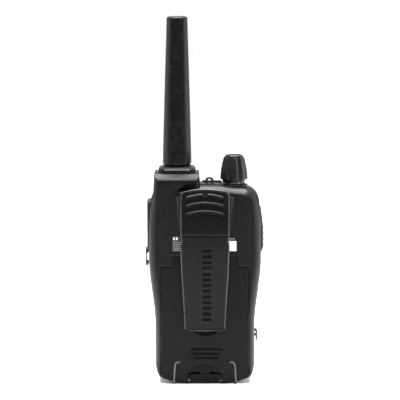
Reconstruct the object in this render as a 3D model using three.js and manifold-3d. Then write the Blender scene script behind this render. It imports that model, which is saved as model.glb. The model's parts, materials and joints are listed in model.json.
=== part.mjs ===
// A handheld two-way radio in millimetres, +Z up, its back with the belt clip facing -Y.
// The origin is at the bottom, under the middle of the casing and of the clip's depth.
import * as THREE from 'three';
import { mergeVertices } from 'three/addons/utils/BufferGeometryUtils.js';
import Module from 'manifold-3d';

const wasm = await Module();
wasm.setup();

// ---------------------------------------------------------------- driving dimensions

const CASE = { back: -9.6, front: 18.4, seam: -1.5, wall: 2 };
const FOOT_HALF = 9; // half-width of the flat part of the bottom
const FOOT_CORNER = { half: 20.3, z: 2.1 }; // where the bottom turns up into the side
const WAIST = { half: 26.5, low: 9, high: 33 }; // the narrow lower casing
const CHEST = { half: 29.9, z: 64, high: 76 }; // the widest part
const SHOULDER = { half: 28.9, z: 97 };
const TOP_CORNER = { half: 21.5, z: 104.6 }; // where the shoulder meets the top
const CASE_TOP = 106.1;
const CAVITY_TOP = 100.8;
const BACK_EDGE = { inset: 3.4, footInset: 0.8, depth: 4.6, footDepth: 1.8, steps: 3 };
const FRONT_EDGE = { inset: 4.5, footInset: 2.4, depth: 6, footDepth: 3.4, steps: 3 };
const GAP = 0.3; // between pieces that meet
const HOLE_GAP = 0.35; // round a button or key
const SPIGOT_HOLE = 3.9; // radius of the holes for the antenna and the volume control

const BOSS = { left: -26.9, right: -3, spread: 1.2, low: 92, top: 112.3, front: 14, lip: 109.3, crest: -5 };
const ANTENNA = { x: -14.8, y: 4, low: 115.7, top: 194.8, lowRadius: 7.8, topRadius: 5.5 };
const SCREWS = { x: 9.5, z: 88, bayX: 7.35, bayZ: 10.5 }; // two under the clip and two in the battery bay
const KNOB = { x: 15.4, y: 4, low: 108.1, top: 121.3, lowRadius: 7.4, topRadius: 5, lobes: 8 };

const BAY = { half: 22.2, low: 3.4, top: 62.2, back: -7.7, floor: 7.8, tubHalf: 23.6, tubFloor: 9.2 };
const CELL = { radius: 7.1, length: 49, low: 8.4, pitch: 14.7, y: -0.1 };
const DOOR = { half: 23.3, top: 62.5, tongueHalf: 17, tongueTop: 68.2, inner: -8, tongueInner: -8.7 };
const LATCH = { half: 8.2, low: 1.7, top: 5.3, y: -8.4, pinHole: 0.7 };

const CLIP = { top: 105.5, low: 29.3, topHalf: 12.95, lowHalf: 10.65, pivotZ: 80.6, outer: -19, thick: 2, corner: 3 };
const CLIP_PIN = { y: -14.4, radius: 1.2, half: 9.4 };
const RAIL = { low: 82, top: 100.5, inner: 13.1, lip: 11.9 };
const BRACKET = { half: 12.8, low: 79.8, top: 97, front: -9.8, back: -11 };

const CLIP_ARM = { x: 5.7, half: 1.1 }; // the lever's two hinge arms
const BRACKET_ARM = { x: 8.1, half: 0.9 }; // the bracket's, outside them

const PTT = { y: 5.4, z: 81.5, width: 10, height: 24.4, outer: 31.2 };
const JACK_COVER = { y: 5.4, top: 97.5, low: 69.6, tabLow: 61.8, width: 10.4, outer: -30.8 };
const JACK_SOCKETS = [
  { z: 88, plug: 1.1, bore: 1.9, hole: 2.6 },
  { z: 77, plug: 0.9, bore: 1.4, hole: 2.1 },
];
const CHARGE_COVER = { y: 13, z: 22.9, height: 7.4, width: 5.6, outer: 28.3 };

const WINDOW = { half: 17.9, low: 71.1, top: 95.9 };
const BEZEL = { half: 21.5, low: 46.5, top: 99, back: 17.9, front: 18.9 };
const SPEAKER = { z: 27, radius: 15, slots: 7, pitch: 4.1, slot: 1.7 };
const BOARD = { half: 21, low: 6, top: 98, back: 9.8, front: 11 };
const KEY_CAP = { back: 12.2, front: 19.4, flange: [15.2, 16], flangeOut: 0.9 };
const KEYS = [
  { name: 'key_up', x: 0, z: 63.8, width: 11, height: 6.6 },
  { name: 'key_down', x: 0, z: 53.6, width: 11, height: 6.6 },
  { name: 'key_menu', x: -13.2, z: 62.6, width: 9, height: 6 },
  { name: 'key_call', x: 13.2, z: 62.6, width: 9, height: 6 },
  { name: 'key_scan', x: -13.2, z: 52.6, width: 9, height: 6 },
  { name: 'key_light', x: 13.2, z: 52.6, width: 9, height: 6 },
];

// ---------------------------------------------------------------- solids

// Joins equal corners and drops triangles that have no area, so that the mesh is closed.
function closed(geometry) {
  const bare = geometry.clone();
  bare.deleteAttribute('normal');
  bare.deleteAttribute('uv');
  const merged = mergeVertices(bare, 1e-4);
  const kept = [];
  for (let i = 0; i < merged.index.count; i += 3) {
    const [a, b, c] = [0, 1, 2].map((k) => merged.index.getX(i + k));
    if (a !== b && b !== c && c !== a) kept.push(a, b, c);
  }
  merged.setIndex(kept);
  return merged;
}

function toSolid(geometry) {
  const mesh = closed(geometry);
  const vertProperties = Float32Array.from(mesh.attributes.position.array);
  const triVerts = Uint32Array.from(mesh.index.array);
  return new wasm.Manifold(new wasm.Mesh({ numProp: 3, vertProperties, triVerts }));
}

function toGeometry(solid) {
  const mesh = solid.getMesh();
  const geometry = new THREE.BufferGeometry();
  geometry.setAttribute('position', new THREE.BufferAttribute(Float32Array.from(mesh.vertProperties), 3));
  geometry.setIndex(Array.from(mesh.triVerts));
  return geometry;
}

const union = (pieces) => pieces.map(toSolid).reduce((sum, piece) => sum.add(piece));

// The first geometry with the others joined to it, less the cutters.
function carve(pieces, cutters = []) {
  const body = union(pieces);
  return toGeometry(cutters.length ? body.subtract(union(cutters)) : body);
}

function common(...pieces) {
  return toGeometry(pieces.map(toSolid).reduce((left, piece) => left.intersect(piece)));
}

function box([x0, x1], [y0, y1], [z0, z1]) {
  const geometry = new THREE.BoxGeometry(x1 - x0, y1 - y0, z1 - z0);
  return geometry.translate((x0 + x1) / 2, (y0 + y1) / 2, (z0 + z1) / 2);
}

// A round bar from one end to the other along x, y or z, through the given point of the other two axes.
function bar(axis, [start, end], [u, v], radius, sides = 20) {
  const geometry = new THREE.CylinderGeometry(radius, radius, end - start, sides);
  const middle = (start + end) / 2;
  if (axis === 'x') return geometry.rotateZ(Math.PI / 2).translate(middle, u, v);
  if (axis === 'y') return geometry.translate(u, middle, v);
  return geometry.rotateX(Math.PI / 2).translate(u, v, middle);
}

// A turned piece about a vertical axis at x, y. The profile is a list of [radius, z].
function turned(profile, [x, y], sides = 24) {
  const points = profile.map(([r, z]) => new THREE.Vector2(r, z));
  return new THREE.LatheGeometry(points, sides).rotateX(Math.PI / 2).translate(x, y, 0);
}

// A closed skin over rings with equal numbers of points, which run counterclockwise seen from the first ring's side.
function skin(rings, flat) {
  const count = rings[0].length;
  const index = [];
  for (let k = 0; k + 1 < rings.length; k += 1) {
    for (let i = 0; i < count; i += 1) {
      const next = (i + 1) % count;
      const [a, b, c, d] = [k * count + i, k * count + next, (k + 1) * count + next, (k + 1) * count + i];
      index.push(a, d, b, b, d, c);
    }
  }
  const last = (rings.length - 1) * count;
  const cap = (ring) => THREE.ShapeUtils.triangulateShape(ring.map(flat), []);
  for (const [a, b, c] of cap(rings[0])) index.push(a, b, c);
  for (const [a, b, c] of cap(rings.at(-1))) index.push(last + a, last + c, last + b);
  const geometry = new THREE.BufferGeometry();
  const numbers = rings.flat().flatMap((p) => [p.x, p.y, p.z]);
  geometry.setAttribute('position', new THREE.Float32BufferAttribute(numbers, 3));
  geometry.setIndex(index);
  return geometry;
}

// ---------------------------------------------------------------- outlines, as lists of [x, z], counterclockwise from behind

// A size that is either one number or a rule for each height z.
const at = (size, z) => (typeof size === 'function' ? size(z) : size);

function inset(outline, distance) {
  const count = outline.length;
  const inward = ([x0, z0], [x1, z1]) => {
    const length = Math.hypot(x1 - x0, z1 - z0);
    return [-(z1 - z0) / length, (x1 - x0) / length];
  };
  return outline.map(([x, z], i) => {
    const [nx, nz] = inward(outline[(i + count - 1) % count], [x, z]);
    const [mx, mz] = inward([x, z], outline[(i + 1) % count]);
    const move = at(distance, z) / (1 + nx * mx + nz * mz);
    return [x + (nx + mx) * move, z + (nz + mz) * move];
  });
}

function roundedOutline([x0, x1], [z0, z1], radius, steps = 3) {
  const corners = [[x1 - radius, z0 + radius, -90], [x1 - radius, z1 - radius, 0],
    [x0 + radius, z1 - radius, 90], [x0 + radius, z0 + radius, 180]];
  return corners.flatMap(([x, z, start]) => Array.from({ length: steps + 1 }, (_, k) => {
    const angle = THREE.MathUtils.degToRad(start + (90 * k) / steps);
    return [x + radius * Math.cos(angle), z + radius * Math.sin(angle)];
  }));
}

const SHARP = { inset: 0, depth: 0, steps: 0 };
const rounding = (size, steps = 2) => ({ inset: size, depth: size, steps });

// An outline made solid between two values of y, with rounded edges at the back and the front.
function slab(outline, [back, front], backEdge = SHARP, frontEdge = SHARP) {
  const ring = (edge, k, y0, direction) => {
    const turn = edge.steps ? (Math.PI / 2) * (k / edge.steps) : Math.PI / 2;
    const inwards = (z) => at(edge.inset, z) * (1 - Math.sin(turn));
    const y = (z) => y0 + direction * at(edge.depth, z) * (1 - Math.cos(turn));
    return inset(outline, inwards).map(([x, z], i) => new THREE.Vector3(x, y(outline[i][1]), z));
  };
  const rings = [];
  for (let k = 0; k <= backEdge.steps; k += 1) rings.push(ring(backEdge, k, back, 1));
  for (let k = frontEdge.steps; k >= 0; k -= 1) rings.push(ring(frontEdge, k, front, -1));
  return skin(rings, (p) => new THREE.Vector2(p.x, p.z));
}

// The same for outlines in plan, [x, -y], made solid between two heights.
const upright = (outline, heights, lowEdge, topEdge) => slab(outline, heights, lowEdge, topEdge).rotateX(Math.PI / 2);

// The same for outlines of a right-hand side, [y, z], made solid inwards from x = outer to x = inner.
const onRight = (outline, [outer, inner], edge) => slab(outline, [-outer, -inner], edge).rotateZ(Math.PI / 2);

// The same for outlines of a left-hand side, [-y, z].
const onLeft = (outline, [outer, inner], edge) => slab(outline, [outer, inner], edge).rotateZ(-Math.PI / 2);

// A coil of wire about an axis through its middle, from start to end along that axis.
function coil(axis, [start, end], [u, v], radius, wire, turns, perTurn = 9) {
  const helix = new THREE.Curve();
  helix.getPoint = (t) => {
    const angle = turns * 2 * Math.PI * t;
    const [c, s, along] = [radius * Math.cos(angle), radius * Math.sin(angle), start + (end - start) * t];
    return axis === 'x' ? new THREE.Vector3(along, u + c, v + s) : new THREE.Vector3(u + c, v + s, along);
  };
  const corner = (k) => new THREE.Vector2(wire * Math.cos(0.4 * Math.PI * k), wire * Math.sin(0.4 * Math.PI * k));
  const section = new THREE.Shape([0, 1, 2, 3, 4].map(corner));
  return new THREE.ExtrudeGeometry(section, { steps: Math.round(turns * perTurn), extrudePath: helix });
}

// ---------------------------------------------------------------- the casing's outer shape

function caseOutline() {
  const half = new THREE.Shape();
  half.moveTo(FOOT_HALF, 0);
  half.quadraticCurveTo(15.5, 0.2, FOOT_CORNER.half, FOOT_CORNER.z);
  half.quadraticCurveTo(26.2, 2.9, WAIST.half, WAIST.low);
  half.lineTo(WAIST.half + 0.1, WAIST.high);
  half.bezierCurveTo(WAIST.half + 0.5, 42, CHEST.half - 0.7, 52, CHEST.half, CHEST.z);
  half.lineTo(CHEST.half, CHEST.high);
  half.bezierCurveTo(CHEST.half + 0.1, 84, SHOULDER.half + 0.6, 91, SHOULDER.half, SHOULDER.z);
  half.quadraticCurveTo(27.9, 102.7, TOP_CORNER.half, TOP_CORNER.z);
  half.quadraticCurveTo(11, CASE_TOP, 1.5, CASE_TOP);
  const right = half.getPoints(5).map((p) => [p.x, p.y]);
  return [...right, ...right.toReversed().map(([x, z]) => [-x, z])];
}

const OUTLINE = caseOutline();

// The casing's edges, which are tighter at the foot than higher up
function caseEdge({ inset: side, footInset, depth, footDepth, steps }) {
  const rise = (foot, above) => (z) => THREE.MathUtils.lerp(foot, above, THREE.MathUtils.smoothstep(z, 1, 12));
  return { inset: rise(footInset, side), depth: rise(footDepth, depth), steps };
}

function bossSolid() {
  const { left, right, spread, low, top, front, lip, crest } = BOSS;
  const outline = [[left - spread, low], [right + spread, low], [right, top], [left, top]];
  const block = slab(outline, [CASE.back, front], { inset: 2, depth: 2.6, steps: 3 }, rounding(2));
  // The plane from the lip on the back face to the crest of the flat top
  const slope = (top - lip) / (crest - CASE.back);
  const [farY, farZ] = [CASE.back - 6, lip - 6 * slope];
  const above = [[farY, farZ], [crest, top], [crest, top + 8], [farY, top + 8]];
  return carve([block], [onRight(above, [right + 6, left - 6], SHARP)]);
}

function casing() {
  const body = slab(OUTLINE, [CASE.back, CASE.front], caseEdge(BACK_EDGE), caseEdge(FRONT_EDGE));
  return carve([body, bossSolid()]);
}

const CASING = casing();
const REAR_FACE = CASE.seam - 0.35;
const FRONT_FACE = CASE.seam + 0.35;
const behind = (y) => box([-50, 50], [-40, y], [-10, 130]);
const before = (y) => box([-50, 50], [y, 40], [-10, 130]);

// What both halves of the casing leave open for the antenna, the volume control and the knob's collar
function topHoles() {
  return [
    bar('z', [CAVITY_TOP - 1, BOSS.top + 2], [ANTENNA.x, ANTENNA.y], SPIGOT_HOLE),
    bar('z', [CAVITY_TOP - 1, CASE_TOP + 2], [KNOB.x, KNOB.y], SPIGOT_HOLE),
    bar('z', [CASE_TOP - 2.4, CASE_TOP + 6], [KNOB.x, KNOB.y], 7.6, 28),
  ];
}

// ---------------------------------------------------------------- pieces of the casing

// The space around the latch, open at the back and at the foot
function latchOpening(clearance, inner) {
  const half = LATCH.half + clearance;
  return box([-half, half], [-20, inner], [-5, LATCH.top + clearance]);
}

function rails() {
  return [-1, 1].flatMap((side) => {
    const post = [[RAIL.inner, RAIL.low], [RAIL.inner + 0.9, RAIL.low], [RAIL.inner + 2, RAIL.top],
      [RAIL.inner, RAIL.top]];
    const lip = [[RAIL.lip, RAIL.low + 1], [RAIL.inner + 0.5, RAIL.low], [RAIL.inner + 0.5, RAIL.top],
      [RAIL.lip, RAIL.top - 1]];
    const placed = (points) => (side > 0 ? points : points.map(([x, z]) => [-x, z]).toReversed());
    return [slab(placed(post), [CASE.back - 2.4, CASE.back + 0.5]), slab(placed(lip), [CASE.back - 2.4, CASE.back - 1.7])];
  });
}

function rearShell() {
  const shell = common(CASING, behind(REAR_FACE));
  const tub = common(
    slab(inset(OUTLINE, CASE.wall + 0.35), [REAR_FACE - 1, BAY.tubFloor]),
    box([-BAY.tubHalf, BAY.tubHalf], [-20, 20], [0, BAY.top + 1.2]),
  );
  const bay = common(
    slab(inset(OUTLINE, 3.6), [BAY.back - 1, BAY.floor]),
    box([-BAY.half, BAY.half], [-20, 20], [0, BAY.top]),
  );
  const upperCavity = common(
    slab(inset(OUTLINE, CASE.wall), [CASE.back + CASE.wall, REAR_FACE + 1]),
    box([-50, 50], [-20, 20], [BAY.top + 1.4, CAVITY_TOP]),
  );
  const cutters = [
    bay,
    upperCavity,
    box([-DOOR.half - GAP, DOOR.half + GAP], [-20, BAY.back], [-5, DOOR.top + GAP]),
    box([-DOOR.tongueHalf - GAP, DOOR.tongueHalf + GAP], [-20, DOOR.tongueInner + GAP], [50, DOOR.tongueTop + GAP]),
    latchOpening(2.6, -5.4),
    ...topHoles(),
    ...screwPlaces().map(([x, z]) => bar('y', [-20, 20], [x, z], 1.2, 12)),
    ...[-1, 1].map((side) => bar('y', [-20, CASE.back + 1.1], [side * SCREWS.x, SCREWS.z], 2.3, 12)),
  ];
  return carve([shell, tub, ...rails()], cutters);
}

// The four case screws, as [x, z]: two under the clip bracket and two in the floor of the battery bay
function screwPlaces() {
  const { x, z, bayX, bayZ } = SCREWS;
  return [[-x, z], [x, z], [-bayX, bayZ], [bayX, bayZ]];
}

function frontShell() {
  const shell = common(CASING, before(FRONT_FACE));
  const loop = slab(roundedOutline([0.3, 4.5], [104.5, 109], 2, 4), [4.8, 7.2], rounding(0.4, 1), rounding(0.4, 1));
  const cavity = common(
    slab(inset(OUTLINE, CASE.wall), [FRONT_FACE - 1, CASE.front - CASE.wall]),
    box([-50, 50], [-20, 20], [-5, CAVITY_TOP]),
  );
  const throughFront = [BOARD.front, CASE.front + 5];
  const slots = Array.from({ length: SPEAKER.slots }, (_, i) => {
    const rise = (i - (SPEAKER.slots - 1) / 2) * SPEAKER.pitch;
    const half = Math.sqrt(SPEAKER.radius ** 2 - rise ** 2);
    const [low, high] = [SPEAKER.z + rise - SPEAKER.slot / 2, SPEAKER.z + rise + SPEAKER.slot / 2];
    return box([-half, half], throughFront, [low, high]);
  });
  const bezelPocket = roundedOutline([-BEZEL.half - GAP, BEZEL.half + GAP], [BEZEL.low - GAP, BEZEL.top + GAP], 6.3);
  const windowPocket = roundedOutline([-WINDOW.half - GAP, WINDOW.half + GAP], [WINDOW.low - GAP, WINDOW.top + GAP], 2.3);
  const cutters = [
    cavity,
    ...topHoles(),
    ...slots,
    bar('y', throughFront, [17.5, 43.2], 0.8, 10),
    slab(roundedOutline([1.5, 3.3], [106.2, 107.9], 0.85, 3), [3, 9]),
    slab(bezelPocket, [BEZEL.back - GAP, 25]),
    slab(windowPocket, [17, 25]),
    box([-16.2, 16.2], throughFront, [73, 94]),
    ...KEYS.map((key) => slab(keyOutline(key, HOLE_GAP), throughFront)),
    onRight(pttOutline(HOLE_GAP), [35, 20], SHARP),
    onLeft(jackCoverOutline(GAP), [-35, -28.6], SHARP),
    ...JACK_SOCKETS.map(({ z, hole }) => bar('x', [-35, -20], [JACK_COVER.y, z], hole, 14)),
    onRight(chargeCoverOutline(GAP), [35, 25.4], SHARP),
    bar('x', [20, 35], [CHARGE_COVER.y, CHARGE_COVER.z], 1.7, 12),
  ];
  return carve([shell, loop], cutters);
}

function caseSeal() {
  const face = [REAR_FACE + 0.1, FRONT_FACE - 0.1];
  const ring = toSolid(slab(inset(OUTLINE, 0.5), face)).subtract(toSolid(slab(inset(OUTLINE, 1.5), [-20, 20])));
  const clear = union([bossSolid(), box([-50, 50], [-20, 20], [100, 130])]);
  return toGeometry(ring.subtract(clear));
}

function batteryDoor() {
  const plate = common(CASING, box([-DOOR.half, DOOR.half], [-20, DOOR.inner], [-5, DOOR.top]));
  const tongue = common(
    CASING,
    box([-DOOR.tongueHalf, DOOR.tongueHalf], [-20, DOOR.tongueInner], [DOOR.top - 4, DOOR.tongueTop]),
  );
  const cheeks = [-1, 1].map((side) => {
    const across = side > 0 ? [8.6, 10.4] : [-10.4, -8.6];
    return box(across, [-8.6, -6.8], [0.9, 7]);
  });
  const cutters = [latchOpening(0.4, -5), bar('x', [-12, 12], [LATCH.y, LATCH.low], LATCH.pinHole, 12)];
  return carve([plate, tongue, ...cheeks], cutters);
}

function doorLatch() {
  const plate = box([-LATCH.half, LATCH.half], [LATCH.y - 1.1, LATCH.y + 0.5], [LATCH.low, LATCH.top]);
  const barrel = bar('x', [-LATCH.half, LATCH.half], [LATCH.y, LATCH.low], 1.1, 16);
  return carve([plate, barrel], [bar('x', [-12, 12], [LATCH.y, LATCH.low], LATCH.pinHole, 12)]);
}

function chargeContact(side) {
  const hook = [[15.9, 0.9], [17, 0.9], [16.6, 10.6], [15.6, 12], [13.2, 12.5], [13, 11.6], [15, 11], [15.6, 10]];
  const placed = side > 0 ? hook : hook.map(([x, z]) => [-x, z]).toReversed();
  const strip = slab(placed, [CASE.back - 0.4, CASE.back - 0.1]);
  return carve([strip, bar('y', [CASE.back - 0.7, CASE.back - 0.1], [side * 16.4, 0.7], 0.65, 12)]);
}

// ---------------------------------------------------------------- antenna and knob

function antennaCollar() {
  const outline = roundedOutline([ANTENNA.x - 9.9, ANTENNA.x + 9.9], [-12.2, 4.4], 4);
  const block = upright(outline, [BOSS.top + 0.2, 115.3], SHARP, rounding(2, 3));
  return carve([block], [bar('z', [100, 130], [ANTENNA.x, ANTENNA.y], SPIGOT_HOLE)]);
}

function antennaSleeve() {
  const { low, top, lowRadius, topRadius } = ANTENNA;
  const profile = [[0, top - 8], [2.9, top - 8], [2.9, low + 3.2], [SPIGOT_HOLE, low + 3.2], [SPIGOT_HOLE, low],
    [lowRadius - 0.3, low],
    [lowRadius, low + 0.3], [topRadius, top - 0.9], [topRadius - 0.3, top - 0.2], [topRadius - 1, top], [0, top]];
  return turned(profile, [ANTENNA.x, ANTENNA.y]);
}

function antennaFerrule() {
  const profile = [[0, 98.4], [3.5, 98.4], [3.5, 118.4], [0, 118.4]];
  return turned(profile, [ANTENNA.x, ANTENNA.y], 20);
}

function antennaNut() {
  const hexagon = bar('z', [CAVITY_TOP - 2.2, CAVITY_TOP - 0.2], [ANTENNA.x, ANTENNA.y], 5.6, 6);
  return carve([hexagon], [bar('z', [90, 110], [ANTENNA.x, ANTENNA.y], 3.8)]);
}

function volumeKnob() {
  const { x, y, low, top, lowRadius, topRadius, lobes } = KNOB;
  const height = top - low;
  // The bell-shaped side, with the flutes fading towards the top
  const heights = [0, 0.08, 0.35, 0.6, 0.82, 0.94, 1];
  const side = (share) => THREE.MathUtils.lerp(lowRadius, topRadius, share ** 1.8) - (share > 0.95 ? 0.5 : 0);
  const ring = (share) => Array.from({ length: 6 * lobes }, (_, i) => {
    const angle = (2 * Math.PI * i) / (6 * lobes);
    const flute = 0.5 - 0.5 * Math.cos(lobes * angle);
    const radius = side(share) - 0.75 * flute * (share > 0.95 ? 0.4 : 1);
    return new THREE.Vector3(radius * Math.cos(angle), -radius * Math.sin(angle), low + height * share);
  });
  const block = skin(heights.map(ring), (p) => new THREE.Vector2(p.x, -p.y)).translate(x, y, 0);
  return carve([block], [bar('z', [low - 1, low + 9.4], [x, y], 3.1), bar('z', [top - 0.5, top + 1], [x, y], 3.4)]);
}

function knobCollar() {
  const low = CASE_TOP - 2.2;
  const outer = 7.3;
  const top = low + 2.3;
  const profile = [[SPIGOT_HOLE, low], [outer, low], [outer, low + 1.4], [outer - 0.7, top], [SPIGOT_HOLE, top],
    [SPIGOT_HOLE, low]];
  return turned(profile, [KNOB.x, KNOB.y], 28);
}

function volumeControl() {
  const can = box([KNOB.x - 5.5, KNOB.x + 5.5], [KNOB.y - 4.6, KNOB.y + 4.6], [91.5, CAVITY_TOP - 0.3]);
  const bushing = bar('z', [95, KNOB.low - 0.4], [KNOB.x, KNOB.y], 3.6);
  return carve([can, bushing], [bar('z', [93, 120], [KNOB.x, KNOB.y], 3)]);
}

// ---------------------------------------------------------------- belt clip

// How far back the clip's outer face lies: bent at the pivot, falling towards both ends
function clipOuter(z) {
  const { pivotZ, outer, top, low } = CLIP;
  if (z > pivotZ) return outer + 2.1 * ((z - pivotZ) / (top - pivotZ)) ** 1.5;
  return outer + 5.8 * ((pivotZ - z) / (pivotZ - low)) ** 1.7;
}

// The plate's height and half-width at a share of its length, with an arched top end and a bowed bottom end
function clipPoint(across, along) {
  const { top, low, topHalf, lowHalf, corner } = CLIP;
  const intoCorner = Math.max(0, 1 - ((1 - along) * (top - low)) / corner);
  const nearLow = 1 - THREE.MathUtils.smoothstep(along, 0, 0.06);
  const widening = THREE.MathUtils.smoothstep(along, -0.1, 0.62);
  const cut = corner * (1 - Math.sqrt(1 - intoCorner ** 2)) + 1.4 * nearLow ** 2;
  const half = THREE.MathUtils.lerp(lowHalf, topHalf, widening) - cut;
  const topZ = top - 1.4 * across ** 2;
  const lowZ = low - 0.5 * (1 - across ** 2);
  return [across * half, THREE.MathUtils.lerp(lowZ, topZ, along)];
}

function beltClip() {
  const rows = [0, 0.02, 0.05, 0.12, 0.25, 0.38, 0.5, 0.6, 0.68, 0.78, 0.88, 0.96, 0.975, 0.988, 0.996, 1];
  const columns = 6;
  const ring = (along) => {
    const face = (depth, order) => order.map((k) => {
      const [x, z] = clipPoint((2 * k) / columns - 1, along);
      return new THREE.Vector3(x, clipOuter(z) + depth, z);
    });
    const order = Array.from({ length: columns + 1 }, (_, k) => k);
    return [...face(0, order), ...face(CLIP.thick, order.toReversed())].toReversed();
  };
  const plate = skin(rows.map(ring), (p) => new THREE.Vector2(p.x, -p.y));
  const lugs = [-1, 1].map((side) => {
    const across = [side * CLIP_ARM.x - CLIP_ARM.half, side * CLIP_ARM.x + CLIP_ARM.half];
    const arm = box(across, [clipOuter(CLIP.pivotZ) + 1, CLIP_PIN.y], [CLIP.pivotZ - 2.1, CLIP.pivotZ + 2.1]);
    return toGeometry(union([arm, bar('x', across, [CLIP_PIN.y, CLIP.pivotZ], 2.1, 16)]));
  });
  const lip = box([-8.6, 8.6], [clipOuter(31) + 0.8, CASE.back - 0.6], [29.7, 31.9]);
  return carve([plate, ...lugs, lip], [bar('x', [-12, 12], [CLIP_PIN.y, CLIP.pivotZ], 1.4, 16)]);
}

function clipBracket() {
  const plate = box([-BRACKET.half, BRACKET.half], [BRACKET.back, BRACKET.front], [BRACKET.low, BRACKET.top]);
  const lugs = [-1, 1].map((side) => {
    const across = [side * BRACKET_ARM.x - BRACKET_ARM.half, side * BRACKET_ARM.x + BRACKET_ARM.half];
    const arm = box(across, [CLIP_PIN.y, BRACKET.front - 0.5], [CLIP.pivotZ - 2, CLIP.pivotZ + 2]);
    return toGeometry(union([arm, bar('x', across, [CLIP_PIN.y, CLIP.pivotZ], 2, 16)]));
  });
  return carve([plate, ...lugs], [bar('x', [-12, 12], [CLIP_PIN.y, CLIP.pivotZ], 1.35, 16)]);
}

// ---------------------------------------------------------------- side and front controls

const around = (middle, size, clearance) => [middle - size / 2 - clearance, middle + size / 2 + clearance];
const pttOutline = (clearance) => (
  roundedOutline(around(PTT.y, PTT.width, clearance), around(PTT.z, PTT.height, clearance), 4 + clearance));
const keyOutline = ({ x, z, width, height }, clearance) => (
  roundedOutline(around(x, width, clearance), around(z, height, clearance), 2.4 + clearance));

function jackCoverOutline(clearance) {
  const { y, top, low, width } = JACK_COVER;
  return roundedOutline(around(-y, width, clearance), [low - clearance, top + clearance], 3 + clearance);
}

function chargeCoverOutline(clearance) {
  const { y, z, width, height } = CHARGE_COVER;
  return roundedOutline(around(y, width, clearance), around(z, height, clearance), 2.6 + clearance);
}

function pttButton() {
  const cap = onRight(pttOutline(0), [PTT.outer, 26.3], rounding(1.1));
  const flange = onRight(pttOutline(0.9), [26.9, 26.3], SHARP);
  const ribs = [73.1, 76.3, 79.2, 81.8].map((z) => bar('y', [PTT.y - 3.6, PTT.y + 3.6], [PTT.outer - 0.1, z], 0.45, 8));
  return carve([cap, flange, ...ribs]);
}

function jackCover() {
  const { y, outer, low, tabLow, width } = JACK_COVER;
  const flap = onLeft(jackCoverOutline(0), [outer, -28.9], rounding(0.8));
  const tabOutline = roundedOutline(around(-y, width - 2, 0), [tabLow, low + 2], 3);
  const tab = onLeft(tabOutline, [outer - 1, -30.1], rounding(0.9));
  const plugs = JACK_SOCKETS.map(({ z, plug }) => bar('x', [-29.5, -25.2], [y, z], plug, 12));
  return carve([flap, tab, ...plugs]);
}

function chargeCover() {
  const dome = onRight(chargeCoverOutline(0), [CHARGE_COVER.outer, 25.7], rounding(1.4));
  return carve([dome, bar('x', [24.6, 27], [CHARGE_COVER.y, CHARGE_COVER.z], 0.8, 12)]);
}

function accessoryJack() {
  const block = box([-27, -17], [1, 9.4], [73, 92]);
  return carve([block], JACK_SOCKETS.map(({ z, bore }) => bar('x', [-30, -18], [JACK_COVER.y, z], bore, 14)));
}

function chargeJack() {
  const { y, z } = CHARGE_COVER;
  return carve([box([16.4, 23.8], [y - 1.7, y + 2.6], [z - 3, z + 3])], [bar('x', [17, 30], [y, z], 1.3, 12)]);
}

function key(place) {
  const cap = slab(keyOutline(place, 0), [KEY_CAP.back, KEY_CAP.front], SHARP, rounding(0.6));
  return carve([cap, slab(keyOutline(place, KEY_CAP.flangeOut), KEY_CAP.flange)]);
}

function frontBezel() {
  const outline = roundedOutline([-BEZEL.half, BEZEL.half], [BEZEL.low, BEZEL.top], 6);
  const plate = slab(outline, [BEZEL.back, BEZEL.front], SHARP, rounding(0.5));
  const windowHole = roundedOutline([-WINDOW.half - GAP, WINDOW.half + GAP], [WINDOW.low - GAP, WINDOW.top + GAP], 2.3);
  return carve([plate], [slab(windowHole, [10, 25]), ...KEYS.map((place) => slab(keyOutline(place, HOLE_GAP), [10, 25]))]);
}

// ---------------------------------------------------------------- inner pieces

function speaker() {
  const frame = bar('y', [11.4, 15.6], [0, SPEAKER.z], SPEAKER.radius, 32);
  const magnet = bar('y', [11.3, 12], [0, SPEAKER.z], 6, 20);
  return carve([frame, magnet], [bar('y', [14.2, 16], [0, SPEAKER.z], SPEAKER.radius - 1.4, 32)]);
}

function cell(index) {
  const x = (index - 1) * CELL.pitch;
  const noseUp = index !== 1;
  const [low, high] = noseUp ? [CELL.low, CELL.low + CELL.length] : [CELL.low + 1.5, CELL.low + CELL.length + 1.5];
  const nose = noseUp ? [high - 1, high + 1.5] : [low - 1.5, low + 1];
  return carve([bar('z', [low, high], [x, CELL.y], CELL.radius, 28), bar('z', nose, [x, CELL.y], 2.7, 14)]);
}

function contactSpring(index) {
  const x = (index - 1) * CELL.pitch;
  const span = index === 1 ? [CELL.low + CELL.length + 2.4, BAY.top - 0.5] : [BAY.low + 2, CELL.low - 0.7];
  return coil('z', span, [x, CELL.y], 2.6, 0.35, 2.5);
}

function contactPlate(index) {
  const x = (index - 1) * CELL.pitch;
  const nearTop = index !== 1;
  const heights = nearTop ? [BAY.top - 0.7, BAY.top - 0.3] : [BAY.low + 0.3, BAY.low + 0.7];
  return box([x - 4, x + 4], [CELL.y - 4, CELL.y + 4], heights);
}

function caseScrew([x, z], inBay) {
  const head = inBay ? [BAY.floor - 1.4, BAY.floor - 0.1] : [CASE.back + 0.2, CASE.back + 0.9];
  const shank = inBay ? [BAY.floor - 0.5, BAY.tubFloor + 0.3] : [CASE.back + 0.5, CASE.back + 7];
  return carve([bar('y', head, [x, z], 2, 16), bar('y', shank, [x, z], 0.9, 10)]);
}

function clipSpring() {
  return coil('x', [-3.8, 3.8], [CLIP_PIN.y, CLIP.pivotZ], 1.9, 0.35, 5);
}

function latchSpring() {
  return box([-2.5, 2.5], [-7.75, -7.45], [3.1, 8.2]);
}

// ---------------------------------------------------------------- the assembly

const radio = new THREE.Group();

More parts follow.
